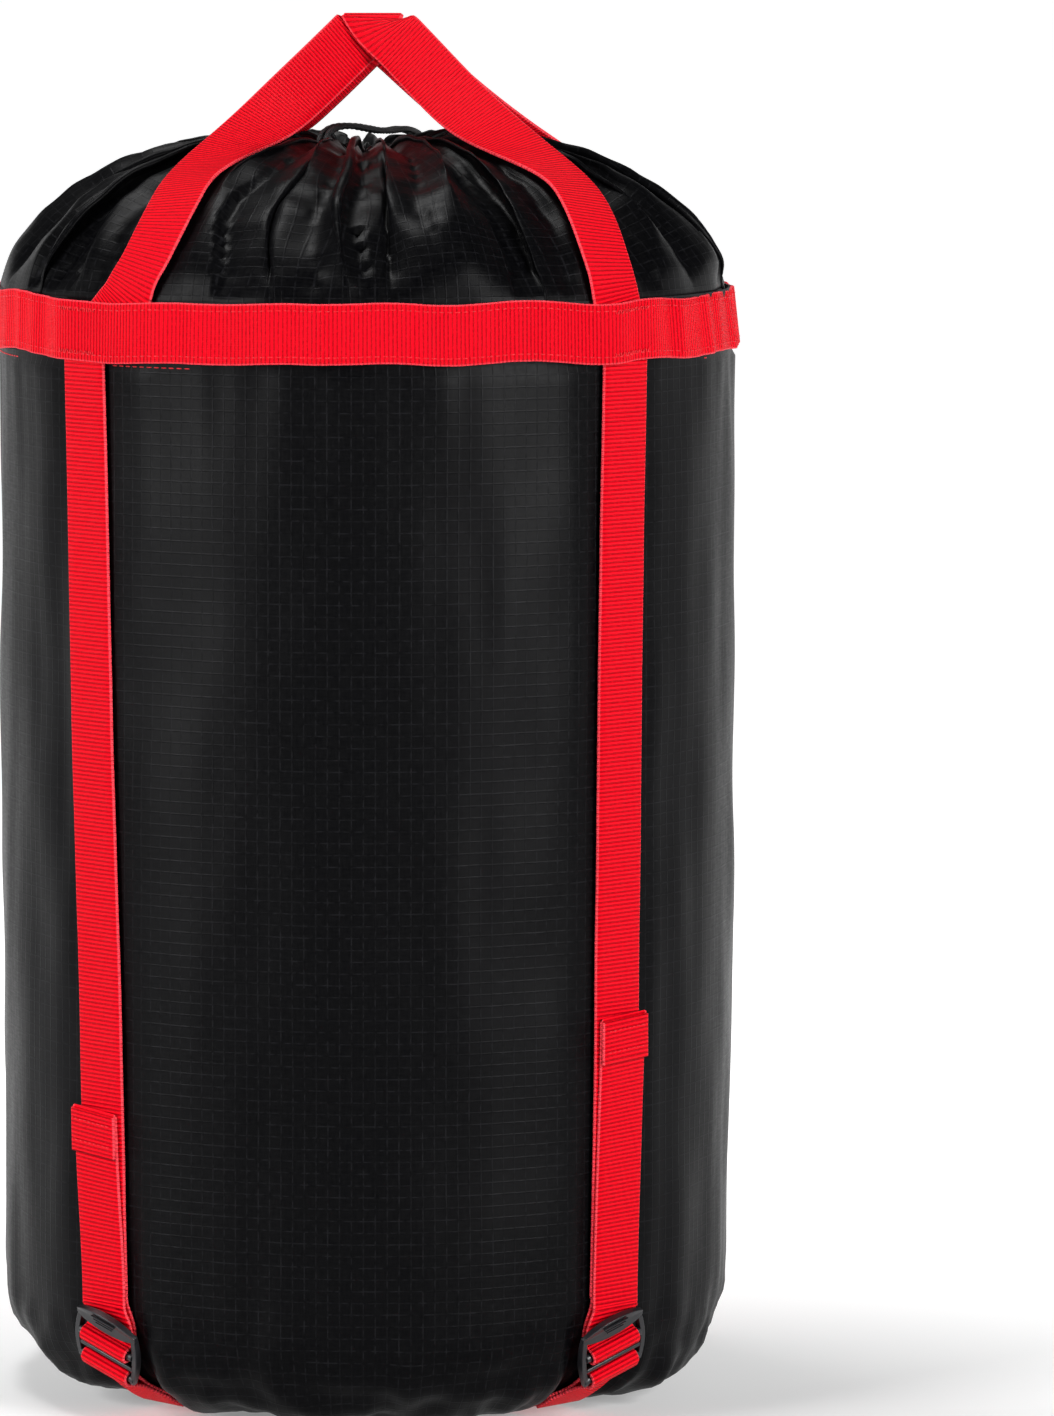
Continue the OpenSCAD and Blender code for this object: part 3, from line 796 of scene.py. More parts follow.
# The front loop's legs, right (1) then left (-1). Under the ring: degrees from the front axis,
# and height in millimetres
LEG_UNDER = {1: [(44.5, 468), (44.0, 475), (43.2, 482.5)], -1: [(41.5, 468), (38.7, 475), (36.0, 482.5)]}
# Lying on the dome: degrees from the front axis, and share of the outside profile
LEG_LIES = {
    1: [(43.0, 0.09), (43.1, 0.18), (43.6, 0.28), (44.6, 0.38), (46.0, 0.48), (47.0, 0.56)],
    -1: [(34.9, 0.09), (33.9, 0.18), (33.4, 0.28), (33.5, 0.38), (34.3, 0.48), (35.7, 0.56)],
}
# Free of the cloth: x, y and height in millimetres
LEG_RISES = {
    1: [(77, -72, 539.5), (58.2, -51, 549), (44.2, -36, 559.3), (33.6, -25, 569.5),
        (23.4, -16.5, 580), (13.6, -10.2, 589.6)],
    -1: [(-62.7, -79, 540), (-45.6, -53, 549.5), (-34.7, -37, 559.5), (-24.5, -25, 569.5),
         (-13.9, -14, 580), (-4.4, -4.6, 589.6)],
}


def leg_spots():
    """Where the four carry loop legs lie on the cloth, seen from above."""
    spots = []
    for side in (1, -1):
        line = [outward(math.radians(-90 + side * d)) * bezier(TOP_OUTER, t)[0]
                for d, t in [(LEG_UNDER[side][2][0], 0.0)] + LEG_LIES[side]]
        line += [Vector((x * MM, y * MM, 0)) for x, y, _ in LEG_RISES[side][:1]]
        line = soften_path(line, per_span=4)
        spots += line + [Vector((p.x, -p.y, 0)) for p in line]
    return spots


LEG_SPOTS = leg_spots()


# the legs are clear of the cloth nearer the mouth than this
LEGS_LEAVE_R = 84 * MM


def under_loop(theta, radius):
    """1 where a carry loop's leg lies on the cloth, 0 elsewhere."""
    if radius < LEGS_LEAVE_R:
        return 0.0
    here = outward(theta) * radius
    near = min((here - spot).length for spot in LEG_SPOTS)
    return (1 - smooth((near - 13 * MM) / (9 * MM))) * smooth((radius - LEGS_LEAVE_R) / (10 * MM))


def under_cord(theta, radius):
    """1 where the two cords and their lock lie on the cloth, 0 elsewhere."""
    x, y = radius * math.cos(theta), radius * math.sin(theta)
    line = [(p[0] * MM, p[1] * MM) for p in CORD_ROUTES["left"][3:22]]
    cord_gap = 3.4 * MM
    near = min(math.hypot(x - a - cord_gap / 2, y - b) for a, b in line)
    at_lock = 108 * MM < y < 155 * MM
    reach = 16 * MM if at_lock else 8 * MM
    return 1 - smooth((near - reach) / (9 * MM))


def gather(theta, radius):
    """Lift of the gathered cloth off its smooth dome, and its lean round the mouth."""
    share = radius / BODY_R
    wander = 0.10 * round_noise(theta, 2, share * 3.2)
    x, cell = cell_place(PLEAT_CELLS, theta + wander * share)
    y, puff = cell_place(PUFF_CELLS, theta - 0.06 + wander * 0.5)
    strong = 0.65 + 0.55 * ((cell * 7) % 5) / 4
    far_out = 0.35 + 0.65 * ((cell * 3) % 4) / 3
    inner = smooth((radius - 16 * MM) / (26 * MM))
    fade = 1 - smooth((radius - (80 + 60 * far_out) * MM) / (46 * MM))
    crest = math.hypot(math.sin(math.pi * x), 0.12) ** 0.75 - 0.84
    pleat = 8.6 * MM * strong * (0.42 + 0.58 * inner) * fade * crest
    swell = smooth((radius - 66 * MM) / (45 * MM)) * (1 - 0.8 * smooth((radius - 152 * MM) / (7 * MM)))
    bulge = math.hypot(math.sin(math.pi * y), 0.1) ** 0.65 - 0.92
    puffed = (7.6 + 2.2 * ((puff * 5) % 3)) * MM * swell * bulge
    rough = round_noise(theta, 9, share * 14) * 1.3 * MM
    crumple = noise.noise(Vector((theta * 16.0, share * 15.0, 4.4))) * 0.6 * MM
    lift = pleat + puffed + (rough + crumple) * smooth((BODY_R - radius) / (9 * MM))
    # a hump in the load, to the right of the mouth
    hump_x, hump_y, hump_r = 50 * MM, 16 * MM, 19 * MM
    lift += 4.0 * MM * math.exp(-((radius * math.cos(theta) - hump_x) ** 2
                                  + (radius * math.sin(theta) - hump_y) ** 2) / (2 * hump_r ** 2))
    low = max(under_loop(theta, radius), under_cord(theta, radius))
    lift = lift * (1 - low) + min(lift, -0.2 * MM) * low
    lean = 0.22 * math.sin(TAU * x) * fade * (TAU / PLEATS) * (1 - low)
    return lift, lean


def make_gathered_top():
    outer_rows, inner_rows, columns = 56, 22, 540
    line = [(TOP_OUTER[0][0] - 0.2 * MM, SHOULDER_Z - 10 * MM), (TOP_OUTER[0][0] - 0.1 * MM, SHOULDER_Z)]
    line += [bezier(TOP_OUTER, i / outer_rows) for i in range(outer_rows + 1)]
    line += [bezier(TOP_INNER, i / inner_rows) for i in range(1, inner_rows + 1)]
    line += [(24 * MM, SHOULDER_Z + 55.5 * MM)]
    rows, lengths, run = [], [], 0.0
    for i, (radius, z) in enumerate(line):
        if i:
            run += math.hypot(radius - line[i - 1][0], z - line[i - 1][1])
        lengths.append(run / MM + 2.5)
        before, after = line[max(i - 1, 0)], line[min(i + 1, len(line) - 1)]
        ahead = Vector((after[0] - before[0], after[1] - before[1])).normalized()
        normal = (ahead.y, -ahead.x)
        row = []
        for theta in columns_round(columns):
            lift, lean = gather(theta, radius)
            lift *= smooth((run - 10 * MM) / (10 * MM))
            tuck = ring_lean(theta) * (1 - smooth((run - 11 * MM) / (14 * MM)))
            far = radius + normal[0] * lift - tuck
            row.append(outward(theta + lean) * far + UP * (z + normal[1] * lift))
        rows.append(row)
    top = cloth_skin("gathered_top_cloth", rows, TAU * BODY_R / MM / columns, lengths)
    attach(top, "top")
    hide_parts("gathered_top")


def make_mouth_hem():
    """The drawcord's tunnel: a stitched hem, ruffled as the cord pulls it in."""
    columns, section = 540, 20
    rows = []
    for i in range(section):
        a = TAU * i / section
        row = []
        for theta in columns_round(columns):
            x, cell = cell_place(PLEAT_CELLS, theta)
            crest = math.sin(math.pi * x) ** 0.75 - 0.55
            frill = crest * (0.8 + 0.5 * ((cell * 7) % 5) / 4)
            flat_r = 6.3 * MM + 1.1 * MM * frill
            rise = flat_r * math.sin(a) + 1.5 * MM * frill
            radius = HEM_R + flat_r * math.cos(a) + 0.9 * MM * frill * math.cos(a)
            lean = 0.2 * math.sin(TAU * x) * TAU / PLEATS
            row.append(outward(theta + lean) * radius + UP * (HEM_Z + rise))
        rows.append(row)
    rows.append([point.copy() for point in rows[0]])
    along = [i * 2.0 for i in range(len(rows))]
    hem = cloth_skin("mouth_hem_cloth", rows[::-1], TAU * BODY_R / MM / columns, along,
                     thickness=0.35 * MM)
    shell = bmesh.new()
    shell.from_mesh(hem.data)
    bmesh.ops.remove_doubles(shell, verts=shell.verts, dist=0.01 * MM)
    shell.to_mesh(hem.data)
    shell.free()
    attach(hem, "top")
    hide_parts("drawcord_channel")


# ---- shoulder ring ----

# direction that the ring leans in at most, and half the width of that place
LEAN_AT = math.radians(352)
LEAN_HALF = 0.75
# the straps, and the loop legs where they come out above them
RING_LUMPS = [math.radians(a) for a in (45, 46, 315, 314, 225, 228, 231, 234, 135, 132, 129, 126)]
LUMP_EDGE = math.radians(5.5)
RING_BUMP = 2.5 * MM
RING_STEPS = 480


def ring_lean(theta):
    """How far the ring's upper edge leans in."""
    waves = 1.6 * noise.noise(outward(theta) * 6.3 + UP * 2.9)
    return (0.9 + 2.6 * smooth(1 - angle_gap(theta, LEAN_AT) / LEAN_HALF) + waves) * MM


def ring_bump(theta):
    """How far the ring stands out over a strap."""
    near = min(angle_gap(theta, angle) for angle in RING_LUMPS)
    half = math.atan(WEB_W / 2 / BODY_R)
    return RING_BUMP * smooth((half + LUMP_EDGE - near) / LUMP_EDGE)


def ring_station(theta):
    """The ring's middle, its direction across and its direction out, with its buckles."""
    wave = 0.8 + 1.7 * noise.noise(outward(theta) * 7.5 + UP * 1.7)
    wave = max(0.0, wave + 2.3 * noise.noise(outward(theta) * 17 + UP * 4.1)) * MM
    drop = 3.6 * MM * noise.noise(outward(theta) * 3.9 + UP * 6.1)
    lean = ring_lean(theta)
    out = outward(theta)
    across = (UP * WEB_W - out * lean).normalized()
    face = around(theta).cross(across).normalized()
    middle = out * (BODY_R + 1.3 * MM + ring_bump(theta) + wave - lean / 2) + UP * (
        RING_Z + WEB_W / 2 + drop * 0.6)
    return middle, across, face


def ring_stitches():
    """The two rows along the ring's edges."""
    count, row_from_middle = 300, 9.6 * MM
    stitches = []
    for inset in (-row_from_middle, row_from_middle):
        for i in range(count):
            a, b = ring_station(TAU * (i + 0.12) / count), ring_station(TAU * (i + 0.84) / count)
            stitches.append((a[0] + a[1] * inset + a[2] * WEB_T / 2,
                             b[0] + b[1] * inset + b[2] * WEB_T / 2, a[2]))
    return stitches


def bar_tacks():
    """Two dense zigzag bars over each strap."""
    tacks = []
    rng = random.Random(3)
    width, count = 19 * MM, 16
    for angle, _ in STRAPS.values():
        for low in (3.0 * MM, WEB_W - 4.6 * MM):
            for i in range(count):
                shift = (i / (count - 1) - 0.5) * width / BODY_R
                middle, across, face = ring_station(angle + shift)
                lift = middle + face * (WEB_T / 2 + 0.1 * MM) + across * (low - WEB_W / 2)
                step = around(angle + shift) * 0.75 * MM * (1 if i % 2 else -1)
                tall = across * (1.7 + 0.2 * rng.random()) * MM
                tacks.append((lift - step / 2, lift + tall + step / 2, face))
    return tacks


SEAM_Z = RING_Z - 2.4 * MM
# the stretch of seam that shows at the front: its middle, and half its width
SEAM_SHOWS = (math.radians(236.5), math.radians(7.5))


def seam_stitches():
    """The second row that holds the ring, which shows on the cloth below it here and there."""
    count = 270
    stitches = []
    for i in range(count):
        theta = TAU * i / count
        shown = angle_gap(theta, SEAM_SHOWS[0]) < SEAM_SHOWS[1]
        shown = shown or (math.sin(theta) > -0.4 and noise.noise(outward(theta) * 3.3 + UP * 8.0) > 0.08)
        clear = all(angle_gap(theta, angle) * BODY_R > WEB_W / 2 + 2 * MM for angle, _ in STRAPS.values())
        if shown and clear:
            spots = []
            for share in (0.1, 0.8):
                turn = TAU * (i + share) / count
                spots.append(outward(turn) * (EDGE_C + skin_wall(turn, SEAM_Z, RING_Z) + 0.1 * MM)
                             + UP * SEAM_Z)
            stitches.append((spots[0], spots[1], outward(theta)))
    return stitches


def make_ring():
    stations = [ring_station(theta) for theta in columns_round(RING_STEPS)]
    ring = webbing("shoulder_ring_webbing", stations, closed=True)
    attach(ring, "top")
    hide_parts("shoulder_ring")
    rows = stitch_mesh("shoulder_ring_stitching", ring_stitches(), 0.27 * MM)
    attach(rows, "top")
    bars = stitch_mesh("strap_bar_tack_stitches", bar_tacks(), 0.3 * MM)
    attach(bars, "top")
    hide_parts("strap_bar_tacks")
    seam = stitch_mesh("ring_seam_stitches", seam_stitches(), 0.25 * MM)
    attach(seam, "top")


# ---- straps ----

def strap_point(corner, z, sideways=0.0, far=0.0):
    """Middle of a strap at height z, just outside the cloth, and its direction out."""
    centre = strap_angle(corner, z)
    out = outward(centre)
    return out * (RUN_IN + WEB_T / 2 + far) + around(centre) * sideways + UP * z, out


def make_strap_run(corner):
    stations = []
    steps = 90
    top = RUN_TOP + 1.2 * MM
    for i in range(steps + 1):
        z = top - (top - EDGE_Z) * i / steps
        drift = 0.8 * MM * noise.noise(Vector((z * 9, STRAPS[corner][0], 1.3)))
        stand = 0.25 * MM * (1 + noise.noise(Vector((z * 22, STRAPS[corner][0], 7.0))))
        point, out = strap_point(corner, z, drift, stand)
        stations.append((point, around(strap_angle(corner, z)), out))
    run = webbing(f"strap_{corner}_run", stations)
    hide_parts(f"strap_run_{corner}")
    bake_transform(run)


TAIL_TOPS = {corner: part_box(f"strap_tail_{corner}")[1][2] for corner in STRAPS}
# how far each free end wanders sideways by its top, in millimetres
TAIL_SKEW = {"front_left": -2.6, "front_right": 2.2, "back_left": 1.6, "back_right": -1.8}


# gap between a tail and its strap's outer face, with the strap's thickness
TAIL_OUT = WEB_T + 0.45 * MM


def make_strap_tail(corner):
    """The free end, folded back over itself and sewn as a hem."""
    skew = TAIL_SKEW[corner]
    foot = EDGE_Z - 6.2 * MM
    top = TAIL_TOPS[corner]
    fold_z = top - 1.0 * MM
    fold_r = (WEB_T + 0.25 * MM) / 2
    hem = 18 * MM
    steps, turn_steps, hem_steps = 40, 8, 8

    def place(z, far):
        share = smooth((z - EDGE_Z) / (top - EDGE_Z))
        wave = 0.5 * MM * noise.noise(Vector((z * 30, STRAPS[corner][0], 3.7)))
        point, out = strap_point(corner, z, skew * MM * share, far + wave * share)
        tilt = math.radians(skew * 1.6) * share
        across = around(strap_angle(corner, z)) * math.cos(tilt) + UP * math.sin(tilt)
        return point, across.normalized(), out

    stations = [place(foot + (fold_z - foot) * i / steps, TAIL_OUT) for i in range(steps + 1)]
    for i in range(1, turn_steps):
        a = math.pi * i / turn_steps
        point, across, out = place(fold_z + fold_r * math.sin(a), TAIL_OUT + fold_r * (1 - math.cos(a)))
        stations.append((point, across, (out * math.cos(a) + UP * math.sin(a)).normalized()))
    for i in range(hem_steps + 1):
        share = i / hem_steps
        point, across, out = place(fold_z - hem * share, TAIL_OUT + 2 * fold_r + 0.35 * MM * share ** 2)
        stations.append((point, across * 1.03, -out))
    tail = webbing(f"strap_{corner}_tail", stations)
    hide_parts(f"strap_tail_{corner}")
    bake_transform(tail)
    stitches = []
    for row in (5.0 * MM, 14.0 * MM):
        for i in range(8):
            point, across, out = place(top - row, TAIL_OUT + 2 * fold_r + WEB_T / 2 + 0.22 * MM)
            a = point + across * (i - 3.9) * 2.7 * MM
            stitches.append((a, a + across * 2.0 * MM, out))
    rows = stitch_mesh(f"strap_{corner}_hem_stitches", stitches, 0.28 * MM)
    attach(rows, f"tail_{corner}")


# how far each lock is turned in its own plane, in degrees
LOCK_ROLL = {"front_left": 21.0, "front_right": -20.0, "back_left": 6.0, "back_right": -8.0}


def lock_frame(corner):
    """The ladder lock's own frame: its anchor bar, up along it, out of it and across it."""
    angle = foot_angle(corner)
    out = outward(angle)
    anchor = Vector(JOINTS[f"lock_tilt_{corner}"]["pos_m"])
    up = out * math.sin(LOCK_LEAN) + UP * math.cos(LOCK_LEAN)
    face = out * math.cos(LOCK_LEAN) - UP * math.sin(LOCK_LEAN)
    return anchor, up, face, around(angle)


WRAP_R = 3.2 * MM


def make_strap_wrap(corner):
    """The strap's turn through the lock: behind the tab, round the middle bar and out again."""
    anchor, up, face, across = lock_frame(corner)
    run_foot, _ = strap_point(corner, EDGE_Z + 1.5 * MM, 0, 0.25 * MM)
    tail_foot, _ = strap_point(corner, EDGE_Z - 5.5 * MM, 0, TAIL_OUT)

    def inside(u, v):
        return anchor + up * u * MM + face * v * MM

    bar = anchor + up * MIDDLE_BAR_UP + face * 0.8 * MM
    points = [run_foot, run_foot - UP * 3.2 * MM, inside(24, -5.2), inside(18, -3.9),
              inside(14, -3.5), inside(11.4, -2.5)]
    for step in range(8):
        a = math.radians(210 - 32 * step)
        points.append(bar + up * WRAP_R * math.cos(a) + face * WRAP_R * math.sin(a))
    points += [inside(17.3, -1.5), inside(19, -2.3), inside(21, -2.5), inside(24, -3.0),
               tail_foot - UP * 1.2 * MM, tail_foot + UP * 1.5 * MM]
    line = soften_path(points, per_span=4)
    turned = roll_into(corner, path_frames(line, across))
    wrap = webbing(f"strap_{corner}_wrap", turned, width=WEB_W - 0.4 * MM)
    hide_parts(f"strap_wrap_{corner}")
    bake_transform(wrap)


def make_anchor(corner):
    """Webbing sewn under the base edge, up round the anchor bar and back down on itself."""
    angle = foot_angle(corner)
    out = outward(angle)
    anchor, _, _, across = lock_frame(corner)
    start = math.atan2(EDGE_Z - anchor.z, math.hypot(anchor.x, anchor.y) - EDGE_C)
    reach = math.hypot(EDGE_Z - anchor.z, math.hypot(anchor.x, anchor.y) - EDGE_C)
    ply = EDGE_R + 0.45 * MM + WEB_T / 2
    over = ply + WEB_T + 0.15 * MM
    turn_r = 2.95 * MM

    def at_edge(radius, degrees_more):
        a = start + math.radians(degrees_more)
        return out * (EDGE_C + radius * math.cos(a)) + UP * (EDGE_Z - radius * math.sin(a))

    points = [out * (EDGE_C - 25 * MM) + UP * (EDGE_Z - ply), out * (EDGE_C - 12 * MM) + UP * (EDGE_Z - ply)]
    points += [at_edge(ply, d) for d in range(57, 8, -6)]
    points.append(at_edge(reach - turn_r - 2.3 * MM, 5.5))
    for step in range(8):
        a = start + math.pi + math.radians(step * 180 / 7)
        points.append(anchor + out * turn_r * math.cos(a) - UP * turn_r * math.sin(a))
    points += [at_edge(reach + 2.1 * MM, 3.2), at_edge(reach - 0.6 * MM, 6), at_edge(over + 1.2 * MM, 9.5)]
    points += [at_edge(over, d) for d in range(13, 34, 5)]
    line = soften_path(points, per_span=3)
    turned = roll_into(corner, path_frames(line, across))
    loop = webbing(f"anchor_{corner}_webbing", turned, width=WEB_W - 0.2 * MM)
    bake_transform(loop)
    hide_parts(f"anchor_loop_{corner}")


def make_cross_straps():
    for name, node, angle, steps_over in (("base_cross_strap_under", "base_cross_strap_a", 45, False),
                                          ("base_cross_strap_over", "base_cross_strap_b", 135, True)):
        out = outward(math.radians(angle))
        stations = []
        steps = 80
        for i in range(steps + 1):
            along = EDGE_C * (2 * i / steps - 1)
            rise = smooth((WEB_W / 2 + 9 * MM - abs(along)) / (6 * MM)) if steps_over else 0.0
            middle = out * along + UP * (WEB_T / 2 + 0.02 * MM + (WEB_T + 0.05 * MM) * rise)
            stations.append((middle, around(math.radians(angle)), UP))
        strap = webbing(name, stations)
        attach(strap, "root")
        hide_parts(node)


# ---- carry loops ----

# where the two legs meet: x and height in millimetres
CREASE = (3.3, 599.6)


def leg_stations(side, lower):
    """One leg of the front loop, from under the ring to just below the crease."""
    stations = []
    for degrees, z in LEG_UNDER[side]:
        way = outward(math.radians(-90 + side * degrees))
        stations.append([way * 161.05 * MM + UP * z * MM, way])
    for degrees, t in LEG_LIES[side]:
        way = outward(math.radians(-90 + side * degrees))
        a, b = bezier(TOP_OUTER, t - 0.02), bezier(TOP_OUTER, t + 0.02)
        r, z = bezier(TOP_OUTER, t)
        ahead = Vector((b[0] - a[0], b[1] - a[1])).normalized()
        stand = (2.2 + 1.6 * smooth((t - 0.1) / 0.3)) * MM
        face = (way * ahead.y - UP * ahead.x).normalized()
        stations.append([way * r + UP * z + face * stand, face])
    flat = Vector((0.0, -1.0, 0.06 * side)).normalized()
    lie_face = stations[-1][1]
    rises = LEG_RISES[side]
    for i, (x, y, z) in enumerate(rises):
        share = smooth((i + 1) / len(rises))
        face = lie_face.lerp(flat, smooth((i + 1.2) / (len(rises) - 1.6))).normalized()
        stations.append([Vector((x * MM, y * MM, (z - lower * share) * MM)), face])
    out = []
    for i, (point, face) in enumerate(stations):
        ahead = stations[min(i + 1, len(stations) - 1)][0] - stations[max(i - 1, 0)][0]
        across = face.cross(ahead).normalized()
        # both legs' widths point the same way, so that the crease doesn't twist
        out.append((point, across if across.x > 0 else -across))
    return out


def loop_stations(lower=0.0):
    """The front loop: up the right leg, over the crease and down the left leg."""
    stations = leg_stations(1, lower)
    cx, cz = CREASE
    half = 2.1
    for i in range(5):
        a = math.pi * i / 4
        point = Vector((cx * MM, (-6.2 + half * (1 - math.cos(a)) * 1.4) * MM,
                        (cz - 2.2 - lower + half * math.sin(a)) * MM))
        stations.append((point, Vector((1, 0, 0))))
    stations += leg_stations(-1, lower)[::-1]
    return even_faces(stations)


def even_faces(stations):
    """Smooths a loop's line, and turns each face to be square to the line and the width."""
    middles = [middle for middle, _ in stations]
    sides = [side for _, side in stations]
    for i in range(1, len(sides)):
        if sides[i].dot(sides[i - 1]) < -0.2:
            sides[i] = -sides[i]
    line = soften_path(middles, per_span=5)
    wide = soften_path(sides, per_span=5)
    top = max(point.z for point in line)
    rounds, held_ends, held_top = 24, 20, 12 * MM
    for _ in range(rounds):
        for values in (line, wide):
            eased = [(a + 2 * b + c) / 4 for a, b, c in zip(values, values[1:], values[2:])]
            for i, value in enumerate(eased, 1):
                if line[i].z < top - held_top and held_ends < i < len(line) - held_ends - 1:
                    values[i] = value
    out = []
    face = None
    for i, point in enumerate(line):
        ahead = (line[min(i + 1, len(line) - 1)] - line[max(i - 1, 0)]).normalized()
        side = wide[i].normalized()
        new = ahead.cross(side)
        if new.length < 0.2 and face is not None:
            new = face
        new = new.normalized()
        out.append((point, side, new))
        face = new
    return out


def make_carry_loops():
    front = webbing("carry_loop_front_webbing", loop_stations())
    flip = Matrix.Diagonal((1, -1, 1))
    behind = [(flip @ a, flip @ b, flip @ c) for a, b, c in loop_stations(lower=4.0)]
    back = webbing("carry_loop_back_webbing", behind)
    for loop, side, y in ((front, "front", -1), (back, "back", 1)):
        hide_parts(f"carry_loop_{side}")
        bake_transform(loop)


# ---- ladder locks, modelled once and copied ----

def fresh_start():
    if bpy.context.mode != "OBJECT":
        bpy.ops.object.mode_set(mode="OBJECT")
    bpy.ops.object.select_all(action="DESELECT")


def take_new(name, scale=(1, 1, 1)):
    """The primitive that was just added, with its place and size put into its mesh."""
    piece = bpy.context.active_object
    piece.name = name
    piece.scale = scale
    bpy.ops.object.transform_apply(location=True, rotation=True, scale=True)
    return piece


def cut_up(piece, cuts):
    """Divides every edge, so that the piece can be bent."""
    select_only(piece)
    bpy.ops.object.mode_set(mode="EDIT")
    bpy.ops.mesh.select_all(action="SELECT")
    bpy.ops.mesh.subdivide(number_cuts=cuts)
    bpy.ops.object.mode_set(mode="OBJECT")
    return piece


def box_piece(name, low, high):
    """A cube primitive at its size and place, in millimetres."""
    fresh_start()
    middle = [(a + b) / 2 * MM for a, b in zip(low, high)]
    bpy.ops.mesh.primitive_cube_add(size=1, location=middle)
    return take_new(name, [(b - a) * MM for a, b in zip(low, high)])


def bar_piece(name, radius, length, up, out):
    """A round bar across the lock, in millimetres."""
    fresh_start()
    bpy.ops.mesh.primitive_cylinder_add(
        vertices=24, radius=radius * MM, depth=length * MM,
        location=(0, out * MM, up * MM), rotation=(0, math.pi / 2, 0))
    return take_new(name)


def select_where(piece, wanted):
    """Selects, in edit mode, the vertices whose place is wanted."""
    bpy.ops.object.mode_set(mode="EDIT")
    bpy.ops.mesh.select_all(action="DESELECT")
    bpy.ops.object.mode_set(mode="OBJECT")
    for vertex in piece.data.vertices:
        vertex.select = bool(wanted(vertex.co))
    bpy.ops.object.mode_set(mode="EDIT")
    bpy.ops.mesh.select_mode(type="VERT")


def bevel_piece(piece, width, segments=3):
    """Rounds the sharp edges by a width in millimetres."""
    edge = piece.modifiers.new("edge", "BEVEL")
    edge.width = width * MM
    edge.segments = segments
    edge.limit_method = "ANGLE"
    edge.angle_limit = math.radians(40)
    apply_modifiers(piece)
    return piece


def lock_master():
    """A ladder lock standing at the origin: X across, -Y out of its face, Z up along it."""
    half_in, rail_w = 13.2, 2.3
    rail_low, rail_high = -2.4, 24.5
    bar_r = 1.9
    parts = []
    for side in (-1, 1):
        low_x, high_x = sorted((side * half_in, side * (half_in + rail_w)))
        rail = cut_up(box_piece("rail", (low_x, -bar_r, rail_low), (high_x, bar_r, rail_high)), 7)
        # the rail bows outwards, and thins towards both ends
        for vertex in rail.data.vertices:
            bow = math.sin(math.pi * (vertex.co.z / MM - rail_low) / (rail_high - rail_low))
            vertex.co.x += side * 1.7 * MM * bow
            vertex.co.y *= 0.62 + 0.38 * bow
        parts.append(bevel_piece(rail, 0.75))
    parts.append(bevel_piece(bar_piece("anchor_bar", bar_r, 30.4, 0, 0), 0.4))
    parts.append(bevel_piece(bar_piece("middle_bar", bar_r, 29.5, MIDDLE_BAR_UP / MM, -0.8), 0.2))
    tab_half = 16.2
    tab = cut_up(box_piece("pull_tab", (-tab_half, -2.2, 19.6), (tab_half, 1.0, 29.2)), 9)
    for vertex in tab.data.vertices:
        share = vertex.co.x / (tab_half * MM)
        tall = 0.24 + 0.76 * max(0.0, 1 - share * share) ** 0.8
        level = (vertex.co.z / MM - 24.4) / 4.8
        # a lens shape, thick in the middle, whose top edge curls out for a thumb
        vertex.co.z = (23.6 + 4.9 * level * tall + 0.7 * (1 - share * share)) * MM
        vertex.co.y = (vertex.co.y + 0.6 * MM) * (0.5 + 0.5 * tall) - 0.6 * MM
        vertex.co.y -= 1.3 * MM * smooth(level) * tall
    parts.append(bevel_piece(tab, 0.6))
    for i in range(3):
        low = (-6.5 + i, -4.1 + 0.3 * i, 26.4 - 1.5 * i)
        ridge = box_piece("tab_grip", low, (-low[0], low[1] + 1.1, low[2] + 0.6))
        parts.append(bevel_piece(ridge, 0.25, 2))
    lower = box_piece("lower_bar", (-14.6, -1.7, 5.2), (14.6, -0.2, 7.2))
    parts.append(bevel_piece(lower, 0.5))
    return join_pieces(parts)


def roll_into(corner, stations):
    """Turns webbing in its own plane with the lock: fully up to one height along the lock, and
    not at all above the other. The turn fades out again past the anchor bar."""
    full_below, none_above = 17, 31
    anchor, up, face, _ = lock_frame(corner)
    middle = anchor + up * MIDDLE_BAR_UP
    out = []
    for point, across, normal in stations:
        u = (point - anchor).dot(up) / MM
        share = 1 - smooth((u - full_below) / (none_above - full_below))
        share *= smooth((u + 22) / 18)
        turn = Matrix.Rotation(-math.radians(LOCK_ROLL[corner]) * share, 3, face)
        out.append((middle + turn @ (point - middle), turn @ across, turn @ normal))
    return out


def make_locks():
    master = lock_master()
    for corner in STRAPS:
        anchor, up, face, across = lock_frame(corner)
        mesh = master.data.copy()
        roll = Matrix.Rotation(math.radians(LOCK_ROLL[corner]), 4, "Y")
        # local X across, -Y out of the face, Z up along the lock
        turn = Matrix((across, -face, up)).transposed().to_4x4()
        middle = UP * MIDDLE_BAR_UP
        mesh.transform(Matrix.Translation(anchor) @ turn @ Matrix.Translation(middle) @ roll
                       @ Matrix.Translation(-middle))
        mesh.materials.clear()
        lock = new_object(f"ladder_lock_{corner}_moulded", mesh, PLASTIC)
        face_outwards(lock)
        shade_by_angle(lock)
        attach(lock, f"lock_{corner}")
        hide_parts(f"ladder_lock_{corner}")
    bpy.data.objects.remove(master, do_unlink=True)


# ---- cord lock ----

# the middle of the barrel, and how steeply the cords run down through it
CORD_LOCK_AT = Vector((24, 128.8, 529.4)) * MM
CORD_LOCK_SLOPE = math.radians(34)


